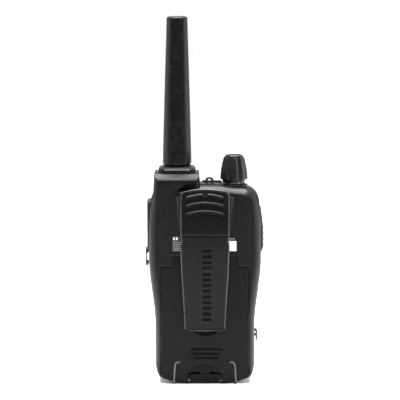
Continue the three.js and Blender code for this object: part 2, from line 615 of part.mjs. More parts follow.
function add(name, geometry, color, roughness, metalness = 0) {
  const mesh = new THREE.Mesh(closed(geometry), new THREE.MeshStandardMaterial({ color, roughness, metalness }));
  mesh.name = name;
  radio.add(mesh);
}

const plastic = (name, geometry) => add(name, geometry, 0x26272a, 0.48);
const rubber = (name, geometry) => add(name, geometry, 0x1b1c1e, 0.7);
const steel = (name, geometry) => add(name, geometry, 0xb9bcc0, 0.3, 1);
const brass = (name, geometry) => add(name, geometry, 0xb08d4a, 0.32, 1);

plastic('rear_shell', rearShell());
plastic('front_shell', frontShell());
rubber('case_seal', caseSeal());
plastic('battery_door', batteryDoor());
plastic('door_latch', doorLatch());
steel('latch_pin', bar('x', [-9.6, 9.6], [LATCH.y, LATCH.low], 0.5, 12));
steel('latch_spring', latchSpring());
steel('charge_contact_left', chargeContact(-1));
steel('charge_contact_right', chargeContact(1));

rubber('antenna_sleeve', antennaSleeve());
plastic('antenna_collar', antennaCollar());
brass('antenna_ferrule', antennaFerrule());
brass('antenna_nut', antennaNut());
steel('antenna_coil', coil('z', [118.9, ANTENNA.top - 9], [ANTENNA.x, ANTENNA.y], 2.1, 0.45, 9, 8));

plastic('volume_knob', volumeKnob());
plastic('knob_collar', knobCollar());
steel('knob_shaft', bar('z', [93.4, KNOB.low + 9], [KNOB.x, KNOB.y], 2.8));
add('volume_control', volumeControl(), 0x8c9096, 0.4, 0.8);

plastic('belt_clip', beltClip());
plastic('clip_bracket', clipBracket());
steel('clip_pin', bar('x', [-CLIP_PIN.half, CLIP_PIN.half], [CLIP_PIN.y, CLIP.pivotZ], CLIP_PIN.radius, 16));
steel('clip_spring', clipSpring());

rubber('ptt_button', pttButton());
add('ptt_switch', box([22, 24.8], [2.4, 8.4], [78.5, 84.5]), 0x55585c, 0.4, 0.4);
rubber('side_jack_cover', jackCover());
add('accessory_jack', accessoryJack(), 0x141414, 0.5);
rubber('charge_jack_cover', chargeCover());
add('charge_jack', chargeJack(), 0x141414, 0.5);

add('front_bezel', frontBezel(), 0x3b3e42, 0.35, 0.3);
const windowOutline = roundedOutline([-WINDOW.half, WINDOW.half], [WINDOW.low, WINDOW.top], 2);
add('display_window', slab(windowOutline, [17.2, 18.5]), 0x20262a, 0.1);
add('display_module', box([-16, 16], [11.3, 14.8], [71.6, 95.6]), 0x9fae8c, 0.4);
KEYS.forEach((place) => rubber(place.name, key(place)));

add('main_board', box([-BOARD.half, BOARD.half], [BOARD.back, BOARD.front], [BOARD.low, BOARD.top]), 0x1d5a34, 0.5);
steel('shield_can', box([-12, 6], [5.8, BOARD.back - 0.3], [66, 90]));
steel('speaker', speaker());
add('speaker_cloth', bar('y', [15.8, 16.2], [0, SPEAKER.z], SPEAKER.radius + 0.4, 32), 0x101010, 0.9);
steel('microphone', bar('y', [11.3, 14.5], [17.5, 43.2], 2.4, 14));

[0, 1, 2].forEach((index) => {
  add(`battery_cell_${index + 1}`, cell(index), 0x2b4a7a, 0.35, 0.2);
  steel(`contact_spring_${index + 1}`, contactSpring(index));
  brass(`contact_plate_${index + 1}`, contactPlate(index));
});
screwPlaces().forEach((place, index) => steel(`case_screw_${index + 1}`, caseScrew(place, index > 1)));

add('id_label', box([-17.4, -9.8], [CASE.back - 0.3, CASE.back - 0.1], [71.2, 79.4]), 0x3a3a3c, 0.6);
add('serial_sticker', box([6, 16.6], [CASE.back - 0.3, CASE.back - 0.1], [71.4, 76.8]), 0xe6e6e2, 0.6);

export default radio;
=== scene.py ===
"""A handheld two-way radio, seen from behind. Lengths are millimetres until a piece is finished."""

import json
import math
from contextlib import contextmanager

import bmesh
import bpy
from mathutils import Matrix, Vector
from mathutils.bvhtree import BVHTree


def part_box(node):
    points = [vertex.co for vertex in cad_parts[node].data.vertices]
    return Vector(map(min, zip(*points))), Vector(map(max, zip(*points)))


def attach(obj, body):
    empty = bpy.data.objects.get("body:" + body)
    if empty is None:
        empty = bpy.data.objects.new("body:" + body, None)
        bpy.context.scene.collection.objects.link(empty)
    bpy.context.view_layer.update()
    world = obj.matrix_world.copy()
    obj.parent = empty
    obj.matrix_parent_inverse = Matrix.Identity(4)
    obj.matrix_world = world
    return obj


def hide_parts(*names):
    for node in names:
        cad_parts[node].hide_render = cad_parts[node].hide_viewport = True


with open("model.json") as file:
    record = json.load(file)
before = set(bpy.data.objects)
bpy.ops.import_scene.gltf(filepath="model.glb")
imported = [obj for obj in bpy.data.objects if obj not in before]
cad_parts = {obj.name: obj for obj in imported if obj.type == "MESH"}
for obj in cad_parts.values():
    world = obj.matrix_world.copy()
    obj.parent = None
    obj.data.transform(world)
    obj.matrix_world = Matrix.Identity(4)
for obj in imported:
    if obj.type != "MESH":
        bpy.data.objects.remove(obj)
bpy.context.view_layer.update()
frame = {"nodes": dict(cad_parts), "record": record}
MM = 0.001


def span(node):
    """A CAD node's extents: (x0, x1), (y0, y1), (z0, z1)."""
    return [(low / MM, high / MM) for low, high in zip(*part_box(node))]


def middle(node):
    return [sum(ends) / 2 for ends in span(node)]


# ---- driving dimensions

CASE_HALF = span("front_shell")[0][1]
CASE_BACK = span("battery_door")[1][0]
CASE_FRONT = span("front_shell")[1][1]
SEAM = span("case_seal")[1]  # the gap between the two halves of the casing
REAR_FACE, FRONT_FACE = SEAM[0] - 0.1, SEAM[1] + 0.1
WALL = 2
GAP = 0.3
BEHIND, AHEAD = -20, 25  # well past the casing's back and front
ALL_X, ALL_Z = (-50, 50), (-10, 130)  # well past its sides and ends

FOOT_HALF = 9
WAIST_HALF, WAIST_LOW, WAIST_HIGH = 26.5, 9, 33
CHEST_LOW, CHEST_HIGH = 64, 76
SHOULDER_HALF, SHOULDER_Z = 28.9, 97
CASE_TOP, CAVITY_TOP = 106.1, 100.8

ANTENNA_X, ANTENNA_Y, _ = middle("antenna_sleeve")
ANTENNA_LOW, ANTENNA_TOP = span("antenna_sleeve")[2]
KNOB_X, KNOB_Y, _ = middle("volume_knob")
KNOB_LOW, KNOB_TOP = span("volume_knob")[2]
SPIGOT_HOLE = 3.9  # the radius of the bores under the antenna and the knob

DOOR_HALF = span("battery_door")[0][1]
DOOR_TOP, TONGUE_HALF, TONGUE_TOP = 62.5, 17, span("battery_door")[2][1]
DOOR_INNER, TONGUE_INNER = -8, -8.7
BAY_HALF, BAY_TOP, BAY_BACK, BAY_FLOOR = 22.2, 62.2, -7.7, 7.8
LATCH_HALF = span("door_latch")[0][1]
LATCH_LOW, LATCH_TOP, LATCH_Y = 1.7, span("door_latch")[2][1], -8.4
LATCH_PIN_HOLE = ("pin_hole", "x", (-12, 12), (LATCH_Y, LATCH_LOW), 0.7)

CLIP_TOP, CLIP_LOW = span("belt_clip")[2][1], 29.3
CLIP_OUTER = span("belt_clip")[1][0]
CLIP_TOP_HALF, CLIP_LOW_HALF, CLIP_THICK, CLIP_CORNER = 12.95, 10.65, 2, 3
RAIL_LOW, RAIL_TOP, RAIL_INNER = 82, 100.5, 13.1
_, PIN_Y, PIN_Z = middle("clip_pin")

SPEAKER_Z, SPEAKER_RADIUS = middle("speaker")[2], span("speaker")[0][1]
KEYS = ["key_up", "key_down", "key_menu", "key_call", "key_scan", "key_light"]
KEY_FLANGE, KEY_GAP = 0.9, 0.35  # the hidden flange round each key, and the gap beside it


# ---- mesh building

def new_object(name, data):
    obj = bpy.data.objects.new(name, data)
    bpy.context.scene.collection.objects.link(obj)
    return obj


def mesh_object(name, points, faces):
    mesh = bpy.data.meshes.new(name)
    mesh.from_pydata(points, [], faces)
    return new_object(name, mesh)


@contextmanager
def edited(obj):
    """A piece's mesh as a bmesh, which is written back afterwards."""
    edit = bmesh.new()
    edit.from_mesh(obj.data)
    yield edit
    edit.to_mesh(obj.data)
    edit.free()


def join_points(edit, distance):
    """Merges points closer than a distance and drops faces without area."""
    bmesh.ops.remove_doubles(edit, verts=edit.verts, dist=distance)
    bmesh.ops.dissolve_degenerate(edit, edges=edit.edges, dist=distance / 10)


def tidy(obj, merge=1e-4):
    """Merges equal points and turns the faces outwards."""
    with edited(obj) as edit:
        join_points(edit, merge)
        bmesh.ops.recalc_face_normals(edit, faces=edit.faces)
    return obj


def loft(name, rings, strips=False):
    """A closed body over rings with equal numbers of points, whose ends are flat or closed by strips."""
    count = len(rings[0])
    last = (len(rings) - 1) * count
    faces = []
    for start in range(0, last, count):
        for i in range(count):
            j = (i + 1) % count
            faces.append((start + i, start + count + i, start + count + j, start + j))
    ends = [tuple(range(count))]
    if strips:
        ends = [(i, i + 1, count - 2 - i, count - 1 - i) for i in range(count // 2 - 1)]
    faces += ends + [tuple(last + i for i in reversed(end)) for end in ends]
    return mesh_object(name, [p for ring in rings for p in ring], faces)


def smooth(low, high, value):
    share = min(1, max(0, (value - low) / (high - low)))
    return share * share * (3 - 2 * share)


def at(size, z):
    return size(z) if callable(size) else size


def inset(outline, distance):
    """An outline, counterclockwise seen from behind, moved inwards."""
    moved = []
    count = len(outline)
    for i, (x, z) in enumerate(outline):
        (x0, z0), (x1, z1) = outline[i - 1], outline[(i + 1) % count]
        before = Vector((-(z - z0), x - x0)).normalized()
        after = Vector((-(z1 - z), x1 - x)).normalized()
        step = (before + after) * at(distance, z) / (1 + before.dot(after))
        moved.append((x + step.x, z + step.y))
    return moved


def on_side(outline, side):
    """An outline of the right-hand side, mirrored where side is -1."""
    return outline if side > 0 else [(-x, z) for x, z in reversed(outline)]


def arc(x, z, radius, start, end, steps):
    """Points round a centre, between two angles in degrees."""
    turns = [math.radians(start + (end - start) * k / steps) for k in range(steps + 1)]
    return [(x + radius * math.cos(a), z + radius * math.sin(a)) for a in turns]


def rounded(x0, x1, z0, z1, radius, steps=8):
    corners = [(x1 - radius, z0 + radius, -90), (x1 - radius, z1 - radius, 0),
               (x0 + radius, z1 - radius, 90), (x0 + radius, z0 + radius, 180)]
    return [point for x, z, start in corners for point in arc(x, z, radius, start, start + 90, steps)]


def bezier(*controls, steps=12):
    """The points of a Bezier curve after its first one."""
    points = []
    for k in range(1, steps + 1):
        left = [Vector(p) for p in controls]
        while len(left) > 1:
            left = [a.lerp(b, k / steps) for a, b in zip(left, left[1:])]
        points.append(tuple(left[0]))
    return points


def round_edge(size, steps=4, depth=None, flat=0.0):
    """A rounded edge, flattened towards a chamfer as flat goes from 0 to 1."""
    return {"inset": size, "depth": size if depth is None else depth, "steps": steps, "flat": flat}


SHARP = round_edge(0, 0)


def slab(name, outline, back, front, back_edge=SHARP, front_edge=SHARP, border=0.0):
    """An outline made solid from back to front, with rounded edges and a border round both flat ends."""
    def ring(edge, k, start, direction):
        share, flat = k / edge["steps"] if edge["steps"] else 1, edge["flat"]
        turn = math.pi / 2 * share
        sideways = (1 - flat) * (1 - math.sin(turn)) + flat * (1 - share)
        along = (1 - flat) * (1 - math.cos(turn)) + flat * share
        moved = inset(outline, lambda z: at(edge["inset"], z) * sideways)
        return [(x, start + direction * at(edge["depth"], z0) * along, z)
                for (x, z), (_, z0) in zip(moved, outline)]
    rings = [ring(back_edge, k, back, 1) for k in range(back_edge["steps"] + 1)]
    rings += [ring(front_edge, k, front, -1) for k in reversed(range(front_edge["steps"] + 1))]
    if border:
        ends = [[(x, y, z) for x, z in inset(outline, lambda z: at(edge["inset"], z) + border)]
                for y, edge in ((back, back_edge), (front, front_edge))]
        rings = [ends[0], *rings, ends[1]]
    return tidy(loft(name, rings))


def turn_mesh(obj, axis, degrees):
    obj.data.transform(Matrix.Rotation(math.radians(degrees), 4, axis))
    return obj


def on_right(name, outline, outer, inner, edge=SHARP):
    """An outline of [y, z] made solid inwards from x = outer on the right-hand side."""
    return turn_mesh(slab(name, outline, -outer, -inner, edge), "Z", 90)


def on_left(name, outline, outer, inner, edge=SHARP):
    """An outline of [-y, z] made solid inwards from x = outer on the left-hand side."""
    return turn_mesh(slab(name, outline, outer, inner, edge), "Z", -90)


def upright(name, outline, low, top, low_edge=SHARP, top_edge=SHARP):
    """An outline in plan, [x, -y], made solid between two heights."""
    return turn_mesh(slab(name, outline, low, top, low_edge, top_edge), "X", 90)


def box(name, xs, ys, zs):
    return slab(name, [(xs[0], zs[0]), (xs[1], zs[0]), (xs[1], zs[1]), (xs[0], zs[1])], *ys)


def circle(x, z, radius, sides):
    return arc(x, z, radius, 0, 360, sides)[:-1]


def bar(name, axis, ends, centre, radius, sides=32):
    """A round bar along x, y or z through the given point of the other two axes."""
    u, v = centre
    if axis == "x":
        return on_right(name, circle(u, v, radius, sides), ends[1], ends[0])
    if axis == "z":
        return upright(name, circle(u, -v, radius, sides), *ends)
    return slab(name, circle(u, v, radius, sides), *ends)


def turned(name, profile, centre, sides=72, closed=False, reach=None):
    """A turned piece about a vertical axis. reach(angle, radius, z) may change the radius."""
    points, faces = [], []
    count = len(profile)
    for i in range(sides):
        j = (i + 1) % sides
        angle = 2 * math.pi * i / sides
        for radius, z in profile:
            r = reach(angle, radius, z) if reach else radius
            points.append((centre[0] + r * math.cos(angle), centre[1] + r * math.sin(angle), z))
        for k in range(count if closed else count - 1):
            m = (k + 1) % count
            faces.append((i * count + k, j * count + k, j * count + m, i * count + m))
    return tidy(mesh_object(name, points, faces))


def ellipsoid(name, centre, radii, sides=48):
    obj = turned(name, arc(0, 0, 1, -90, 90, 24), (0, 0), sides)
    obj.data.transform(Matrix.Translation(centre) @ Matrix.Diagonal((*radii, 1)))
    return obj


def bake_modifiers(obj):
    graph = bpy.context.evaluated_depsgraph_get()
    mesh = bpy.data.meshes.new_from_object(obj.evaluated_get(graph))
    obj.modifiers.clear()
    obj.data = mesh


def combine(obj, others, operation="DIFFERENCE"):
    """Cuts the others from obj, joins them to it or keeps what is common, and removes them."""
    for other in others:
        step = obj.modifiers.new("step", "BOOLEAN")
        step.operation = operation
        step.solver = "MANIFOLD"
        step.object = other
    bake_modifiers(obj)
    for other in others:
        bpy.data.objects.remove(other)
    with edited(obj) as edit:
        bmesh.ops.triangulate(edit, faces=edit.faces)
    return obj


def soften(obj, width, merge=0.02):
    """Rounds the sharp edges that stick out. What is cut afterwards keeps its own, finer edges."""
    with edited(obj) as edit:
        join_points(edit, merge)
        sharp = [edge for edge in edit.edges if edge.is_convex and edge.calc_face_angle(0) > math.radians(35)]
        surface = BVHTree.FromBMesh(edit)
        bmesh.ops.bevel(edit, geom=sharp, offset=width, segments=2, profile=0.5, affect="EDGES")
        # Where edges crowd, a corner can land far off the piece, so it's brought back to the surface
        for vertex in edit.verts:
            nearest, _, _, distance = surface.find_nearest(vertex.co)
            if distance > width:
                vertex.co = nearest


def finish(obj, body, slot, nodes, material=None, crease=38):
    """Turns a piece into metres, smooths it, gives it its slot's material, ties it to its body and hides the
    CAD nodes it stands in for.
    """
    obj.data.transform(Matrix.Scale(MM, 4))
    obj.data.shade_smooth()
    obj.data.set_sharp_from_angle(angle=math.radians(crease))
    normals = obj.modifiers.new("normals", "WEIGHTED_NORMAL")
    normals.keep_sharp = True
    bake_modifiers(obj)
    obj.data.materials.clear()
    obj.data.materials.append(material or LOOKS[slot])
    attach(obj, body)
    if nodes:
        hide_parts(*nodes)


def paint(obj, material, within):
    """Gives the faces whose middle within(x, y, z) picks out a material of their own."""
    obj.data.materials.append(material)
    for polygon in obj.data.polygons:
        if within(*(polygon.center / MM)):
            polygon.material_index = len(obj.data.materials) - 1


# ---- materials

class Shader:
    """A material being built: nodes are added by kind, with their sockets by name and _ for a space."""

    def __init__(self, name):
        self.material = bpy.data.materials.new(name)
        self.material.use_nodes = True
        self.tree = self.material.node_tree
        self.place = self.add("ShaderNodeTexCoord").outputs["Object"]

    def give(self, socket, value):
        """Links an output to a socket, or sets the socket to a number, a vector or a colour."""
        if isinstance(value, bpy.types.NodeSocket):
            self.tree.links.new(value, socket)
        else:
            socket.default_value = (*value, 1) if socket.type == "RGBA" else value

    def add(self, kind, settings=None, **sockets):
        made = self.tree.nodes.new(kind)
        for key, value in (settings or {}).items():
            setattr(made, key, value)
        for key, value in sockets.items():
            self.give(made.inputs[key.replace("_", " ")], value)
        return made

    def surface(self, **sockets):
        for key, value in sockets.items():
            self.give(self.tree.nodes["Principled BSDF"].inputs[key.replace("_", " ")], value)

    def noise(self, size, detail, stretch=(1, 1, 1)):
        """Noise with features of about size millimetres."""
        place = self.add("ShaderNodeMapping", Vector=self.place, Scale=stretch).outputs["Vector"]
        made = self.add("ShaderNodeTexNoise", Vector=place, Scale=1 / (size * MM), Detail=detail)
        return made.outputs["Fac"]

    def ramp(self, value, low, high, start=0.0, end=1.0):
        return self.add("ShaderNodeMapRange", Value=value, From_Min=low, From_Max=high, To_Min=start,
                        To_Max=end).outputs["Result"]

    def maths(self, operation, a, b, kind="ShaderNodeMath"):
        made = self.add(kind, {"operation": operation})
        self.give(made.inputs[0], a)
        self.give(made.inputs[1], b)
        return made.outputs["Value"]

    def blend(self, share, a, b):
        made = self.add("ShaderNodeMix", {"data_type": "RGBA"})
        for index, value in ((0, share), (6, a), (7, b)):
            self.give(made.inputs[index], value)
        return made.outputs[2]

    def rounding(self, radius):
        """The surface's normal, turned smoothly across edges."""
        return self.add("ShaderNodeBevel", {"samples": 4}, Radius=radius * MM).outputs["Normal"]

    def edge_mask(self, radius):
        """One along edges that stick out or fold in, nought on plain faces."""
        plain = self.add("ShaderNodeNewGeometry").outputs["Normal"]
        match = self.maths("DOT_PRODUCT", self.rounding(radius), plain, "ShaderNodeVectorMath")
        return self.ramp(match, 0.995, 0.8)

    def bump(self, height, strength, depth, **normal):
        made = self.add("ShaderNodeBump", Height=height, Strength=strength, Distance=depth * MM, **normal)
        self.surface(Normal=made.outputs["Normal"])


def shades(color, dark, light=1):
    """A darker and a lighter shade of a colour."""
    return [c * dark for c in color], [c * light for c in color]


def moulded(name, color, roughness, specular=0.3, grain=0.35, relief=0.5, edge_wear_and_highlight=0.5):
    """Moulded plastic: a fine spark texture, slight blotches, and edges painted lighter and glossier in
    patches, partly as wear from handling and partly as a painted highlight.
    """
    s = Shader(name)
    fine = s.noise(grain, 2)
    cells = s.add("ShaderNodeTexVoronoi", Vector=s.place, Scale=1 / (grain * MM)).outputs["Distance"]
    base = s.blend(s.ramp(s.noise(14, 4), 0.3, 0.7), *shades(color, 0.82, 1.22))
    # Edges are painted lighter and glossier in patches: partly wear from handling, partly a painted highlight
    # along the edges.
    worn_and_highlit_edges = s.maths("MULTIPLY", s.edge_mask(0.3), s.ramp(s.noise(2.2, 3), 0.35, 0.65, 0, edge_wear_and_highlight))
    worn_and_highlit_color = [min(1, c * 2.4 + 0.012) for c in color]
    satin = s.ramp(s.noise(5, 3), 0.3, 0.7, roughness - 0.05, roughness + 0.05)
    s.surface(Base_Color=s.blend(worn_and_highlit_edges, base, worn_and_highlit_color), Specular_IOR_Level=specular,
              Roughness=s.maths("SUBTRACT", satin, s.maths("MULTIPLY", worn_and_highlit_edges, 0.12)))
    s.bump(s.maths("ADD", s.maths("MULTIPLY", cells, 0.6), fine), relief, 0.03)
    return s.material


def rubber(name, color, roughness, relief=0.35, specular=0.28):
    """Soft rubber: matt, with a broad uneven sheen and a little pale dust."""
    s = Shader(name)
    dust = s.ramp(s.noise(3.5, 5), 0.5, 0.8, 0, 0.35)
    base = s.blend(s.ramp(s.noise(9, 3), 0.3, 0.7), *shades(color, 0.85, 1.2))
    s.surface(Base_Color=s.blend(dust, base, [c + 0.012 for c in color]), Specular_IOR_Level=specular,
              Roughness=s.ramp(s.noise(2.5, 4), 0.3, 0.7, roughness - 0.07, roughness + 0.08))
    s.bump(s.noise(0.5, 4), relief, 0.03, Normal=s.rounding(0.25))
    return s.material


def metal(name, color, roughness):
    """Bare metal with fine drawn lines and duller patches."""
    s = Shader(name)
    lines = s.noise(1.2, 5, (1, 1, 12))
    dull, bright = shades(color, 0.7)
    s.surface(Base_Color=s.blend(s.ramp(s.noise(3, 4), 0.35, 0.7), bright, dull), Metallic=1.0,
              Roughness=s.ramp(lines, 0.3, 0.7, roughness - 0.08, roughness + 0.12))
    s.bump(lines, 0.3, 0.02)
    return s.material


def glossy(name, color, roughness, coat=0.0, relief=0.06, specular=0.5):
    """A smooth glossy surface with faint smears."""
    s = Shader(name)
    smear = s.noise(6, 5, (1, 1, 0.4))
    s.surface(Base_Color=s.blend(s.ramp(smear, 0.3, 0.7), *shades(color, 0.8, 1.15)), Coat_Weight=coat,
              Roughness=s.ramp(smear, 0.35, 0.7, roughness, roughness + 0.04), Specular_IOR_Level=specular)
    s.bump(s.noise(2, 3), relief, 0.02)
    return s.material


def cloth(name, color):
    """Woven acoustic cloth, with crossed threads."""
    s = Shader(name)
    threads = [s.add("ShaderNodeTexWave", {"bands_direction": axis}, Vector=s.place, Scale=900.0,
                     Distortion=0.6).outputs["Fac"] for axis in "XZ"]
    weave = s.maths("MAXIMUM", *threads)
    s.surface(Base_Color=s.blend(weave, *shades(color, 0.4, 1.6)), Roughness=0.9)
    s.bump(weave, 0.6, 0.05)
    return s.material


def paper(name, color):
    """Matt label stock with fibres."""
    s = Shader(name)
    fibre = s.noise(0.6, 5, (1, 1, 0.3))
    s.surface(Base_Color=s.blend(s.ramp(fibre, 0.3, 0.7), *shades(color, 0.93)),
              Roughness=s.ramp(s.noise(2, 3), 0.3, 0.7, 0.5, 0.65))
    s.bump(fibre, 0.2, 0.02)
    return s.material


RECORD_COLOR = {row["slot"]: row["base_color"][:3] for row in frame["record"]["materials"]}
LOOKS = {
    "casing": moulded("casing_plastic", [0.003, 0.0031, 0.0033], 0.3, 0.095, relief=0.06),
    "door_plastic": moulded("door_plastic", [0.0026, 0.0027, 0.0028], 0.32, 0.075, relief=0.06),
    # The clip takes the full amount of the lighter edges: edge wear and painted highlight.
    "clip_plastic": moulded("clip_plastic", [0.0026, 0.0027, 0.0028], 0.28, 0.08, relief=0.05, edge_wear_and_highlight=1.0),
    "knob_plastic": moulded("knob_plastic", [0.0045, 0.0045, 0.0048], 0.24, 0.2, grain=0.25, relief=0.1),
    "antenna_rubber": rubber("antenna_rubber", [0.0022, 0.0022, 0.0024], 0.25, relief=0.1, specular=0.105),
    "soft_rubber": rubber("soft_rubber", [0.006, 0.006, 0.0064], 0.55),
    "key_rubber": rubber("key_rubber", [0.009, 0.009, 0.0098], 0.6, specular=0.2),
    "contact_steel": metal("contact_steel", RECORD_COLOR["contact_steel"], 0.3),
    "spring_steel": metal("blued_steel", [0.03, 0.03, 0.033], 0.5),
    "brass": metal("plated_brass", RECORD_COLOR["brass"], 0.3),
    "bezel_plastic": glossy("bezel_plastic", [0.008, 0.0084, 0.0092], 0.24, 0.04, 0.05, 0.13),
    "window": glossy("window_plastic", [0.004, 0.0047, 0.0055], 0.06, 0.1, 0.02, 0.2),
    "display": glossy("display_panel", RECORD_COLOR["display"], 0.25),
    "board": glossy("solder_mask", RECORD_COLOR["board"], 0.3),
    "jack_plastic": moulded("jack_plastic", RECORD_COLOR["jack_plastic"], 0.4),
    "can_metal": metal("pressed_can", RECORD_COLOR["can_metal"], 0.35),
    "cloth": cloth("speaker_cloth_weave", RECORD_COLOR["cloth"]),
    "cell_wrap": glossy("cell_wrap", [c * 0.3 for c in RECORD_COLOR["cell_wrap"]], 0.28, 0.1, specular=0.3),
    "label_print": moulded("label_stock", [0.0125, 0.0128, 0.0136], 0.5, relief=0.2),
    "sticker": paper("sticker_stock", [0.88, 0.88, 0.87]),
}
# Darker, duller plastic painted into the grip grooves of the door and the clip: painted shade in the grooves.
PAINTED_SHADE = moulded("painted_shade_plastic", [0.0016, 0.0016, 0.0017], 0.5, 0.05, relief=0.14)
# Lighter, glossier plastic painted along the clip's rim, the rails beside it and the top of the loop on the
# casing: a painted highlight.
PAINTED_HIGHLIGHT = moulded("painted_highlight_plastic", [0.019, 0.0194, 0.02], 0.3, 0.28, relief=0.1)
PRINT = paper("grey_print", [0.16, 0.16, 0.165])
WHITE_PRINT = paper("white_print", [0.6, 0.6, 0.6])
DARK_METAL = metal("dark_contact", [0.09, 0.09, 0.095], 0.42)

SLOTS = {part["node"]: part["material_slot"] for part in frame["record"]["subparts"]}
SLOTS.update(latch_spring="spring_steel", antenna_ferrule="spring_steel")
for name, obj in frame["nodes"].items():
    obj.data.materials.clear()
    obj.data.materials.append(LOOKS[SLOTS[name]])


# ---- the casing's outer shape

def case_outline():
    right = [(FOOT_HALF, 0)]
    right += bezier(right[-1], (15.5, 0.2), (20.3, 2.1))
    right += bezier(right[-1], (26.2, 2.9), (WAIST_HALF, WAIST_LOW))
    right += bezier(right[-1], (WAIST_HALF + 0.1, WAIST_HIGH), steps=8)
    chest = (CASE_HALF, CHEST_LOW)
    right += bezier(right[-1], (WAIST_HALF + 0.5, 42), (CASE_HALF - 0.7, 52), chest, steps=20)
    right += bezier(chest, (CASE_HALF, CHEST_HIGH), steps=4)
    shoulder = (SHOULDER_HALF, SHOULDER_Z)
    right += bezier(right[-1], (CASE_HALF + 0.1, 84), (SHOULDER_HALF + 0.6, 91), shoulder, steps=14)
    right += bezier(shoulder, (27.9, 102.7), (21.5, 104.6), steps=16)
    right += bezier(right[-1], (11, CASE_TOP), (1.5, CASE_TOP), steps=10)
    return right + on_side(right, -1)


OUTLINE = case_outline()


def case_edge(side, foot_side, depth, foot_depth, flat):
    """The casing's rounded edge, which is tighter at the foot."""
    def rise(low, high):
        return lambda z: low + (high - low) * smooth(1, 12, z)
    return round_edge(rise(foot_side, side), 12, rise(foot_depth, depth), flat)


BACK_EDGE = case_edge(3.5, 0.8, 4.6, 1.8, 0.6)
FRONT_EDGE = case_edge(4.5, 2.4, 6, 3.4, 0.3)
REAR_STEP = 0.35  # how far the rear half's side lies inside the front half's


def boss_body():
    """The block that carries the antenna, with a rounded slope along its top rear edge."""
    left, right, top, crest = -26.9, -3, 112.3, -5
    corner = 0.7
    outline = [(left - 1.2, 92), (right + 1.2, 92), *arc(right - corner, top - corner, corner, 0, 90, 6),
               *arc(left + corner, top - corner, corner, 90, 180, 6)]
    block = slab("boss", outline, CASE_BACK, 14, round_edge(2.4, 8, 3, 0.5), round_edge(2, 6))
    slope_low, lifted = 106.3, (crest - 0.5, top - 0.28)
    slope = [(CASE_BACK - 0.02, slope_low)]
    slope += bezier((CASE_BACK, slope_low + 0.1), (CASE_BACK, 109.0), (CASE_BACK + 1.5, 110.12), steps=20)
    slope += [lifted] + bezier(lifted, (crest, top), (crest + 0.8, top + 0.04))
    above = slope + [(crest + 0.8, top + 8), (CASE_BACK - 6, top + 8), (CASE_BACK - 6, slope_low)]
    combine(block, [on_right("above", above, right + 6, left - 6)])
    # A hollow beside the clip's top, where a thumb reaches it: a shallow dish with a deeper one inside
    dish = ellipsoid("dish", (right - 5.5, CASE_BACK - 3.6, 102.8), (20, 4, 12), 96)
    hollow_place = (right - 5.2, CASE_BACK - 1.6, 102.6)
    return combine(block, [dish, ellipsoid("hollow", hollow_place, (7.4, 3.2, 4.6), 64)])


def casing(step=0.0, name="casing"):
    """The whole outer form, or one that lies a step inside it except along the bottom."""
    outline = inset(OUTLINE, lambda z: step * smooth(1, 8, z))
    body = slab(name, outline, CASE_BACK, CASE_FRONT, BACK_EDGE, FRONT_EDGE, 0.4)
    return combine(body, [boss_body()], "UNION")


def top_holes():
    """What both halves of the casing leave open for the antenna, the volume control and the knob's collar."""
    return [
        bar("hole", "z", (CAVITY_TOP - 1, 115), (ANTENNA_X, ANTENNA_Y), SPIGOT_HOLE),
        bar("hole", "z", (CAVITY_TOP - 1, CASE_TOP + 2), (KNOB_X, KNOB_Y), SPIGOT_HOLE),
        bar("hole", "z", (CASE_TOP - 2.4, CASE_TOP + 6), (KNOB_X, KNOB_Y), 7.6, 72),
    ]


def hollow(name, wall, back, front, xs, zs):
    """The inside of the casing at a wall's distance, kept to a range of x and z."""
    room = slab(name, inset(OUTLINE, wall), back, front)
    return combine(room, [box("range", xs, (-40, 40), zs)], "INTERSECT")


# ---- rear half

def rails():
    """The two ears beside the clip's bracket, with sloping outer sides and a lip over the bracket."""
    inner, low, top = RAIL_INNER, RAIL_LOW, RAIL_TOP
    made = []
    for side in (1, -1):
        sections = []
        for rise, spread in ((-0.5, 1.4), (0, 1.15), (1.9, 0.1), (2.2, -0.15), (2.4, -0.5)):
            foot, head = inner + 0.35 + 0.4 * spread, inner + 0.9 + spread
            section = [(inner, low), (foot, low), (head, top - 0.9), (head - 0.5, top), (inner, top)]
            sections.append([(side * x, CASE_BACK - rise, z) for x, z in section])
        made.append(tidy(loft("rail", sections)))
        lip = [(inner - 1.2, low + 1), (inner + 0.3, low), (inner + 0.3, top), (inner - 1.2, top - 1)]
        made.append(slab("rail_lip", on_side(lip, side), CASE_BACK - 2.4, CASE_BACK - 1.7,
                         round_edge(0.25, 3)))
    return made


SCREWS = [(-9.5, 88), (9.5, 88), (-7.35, 10.5), (7.35, 10.5)]  # the upper two, then the two in the bay


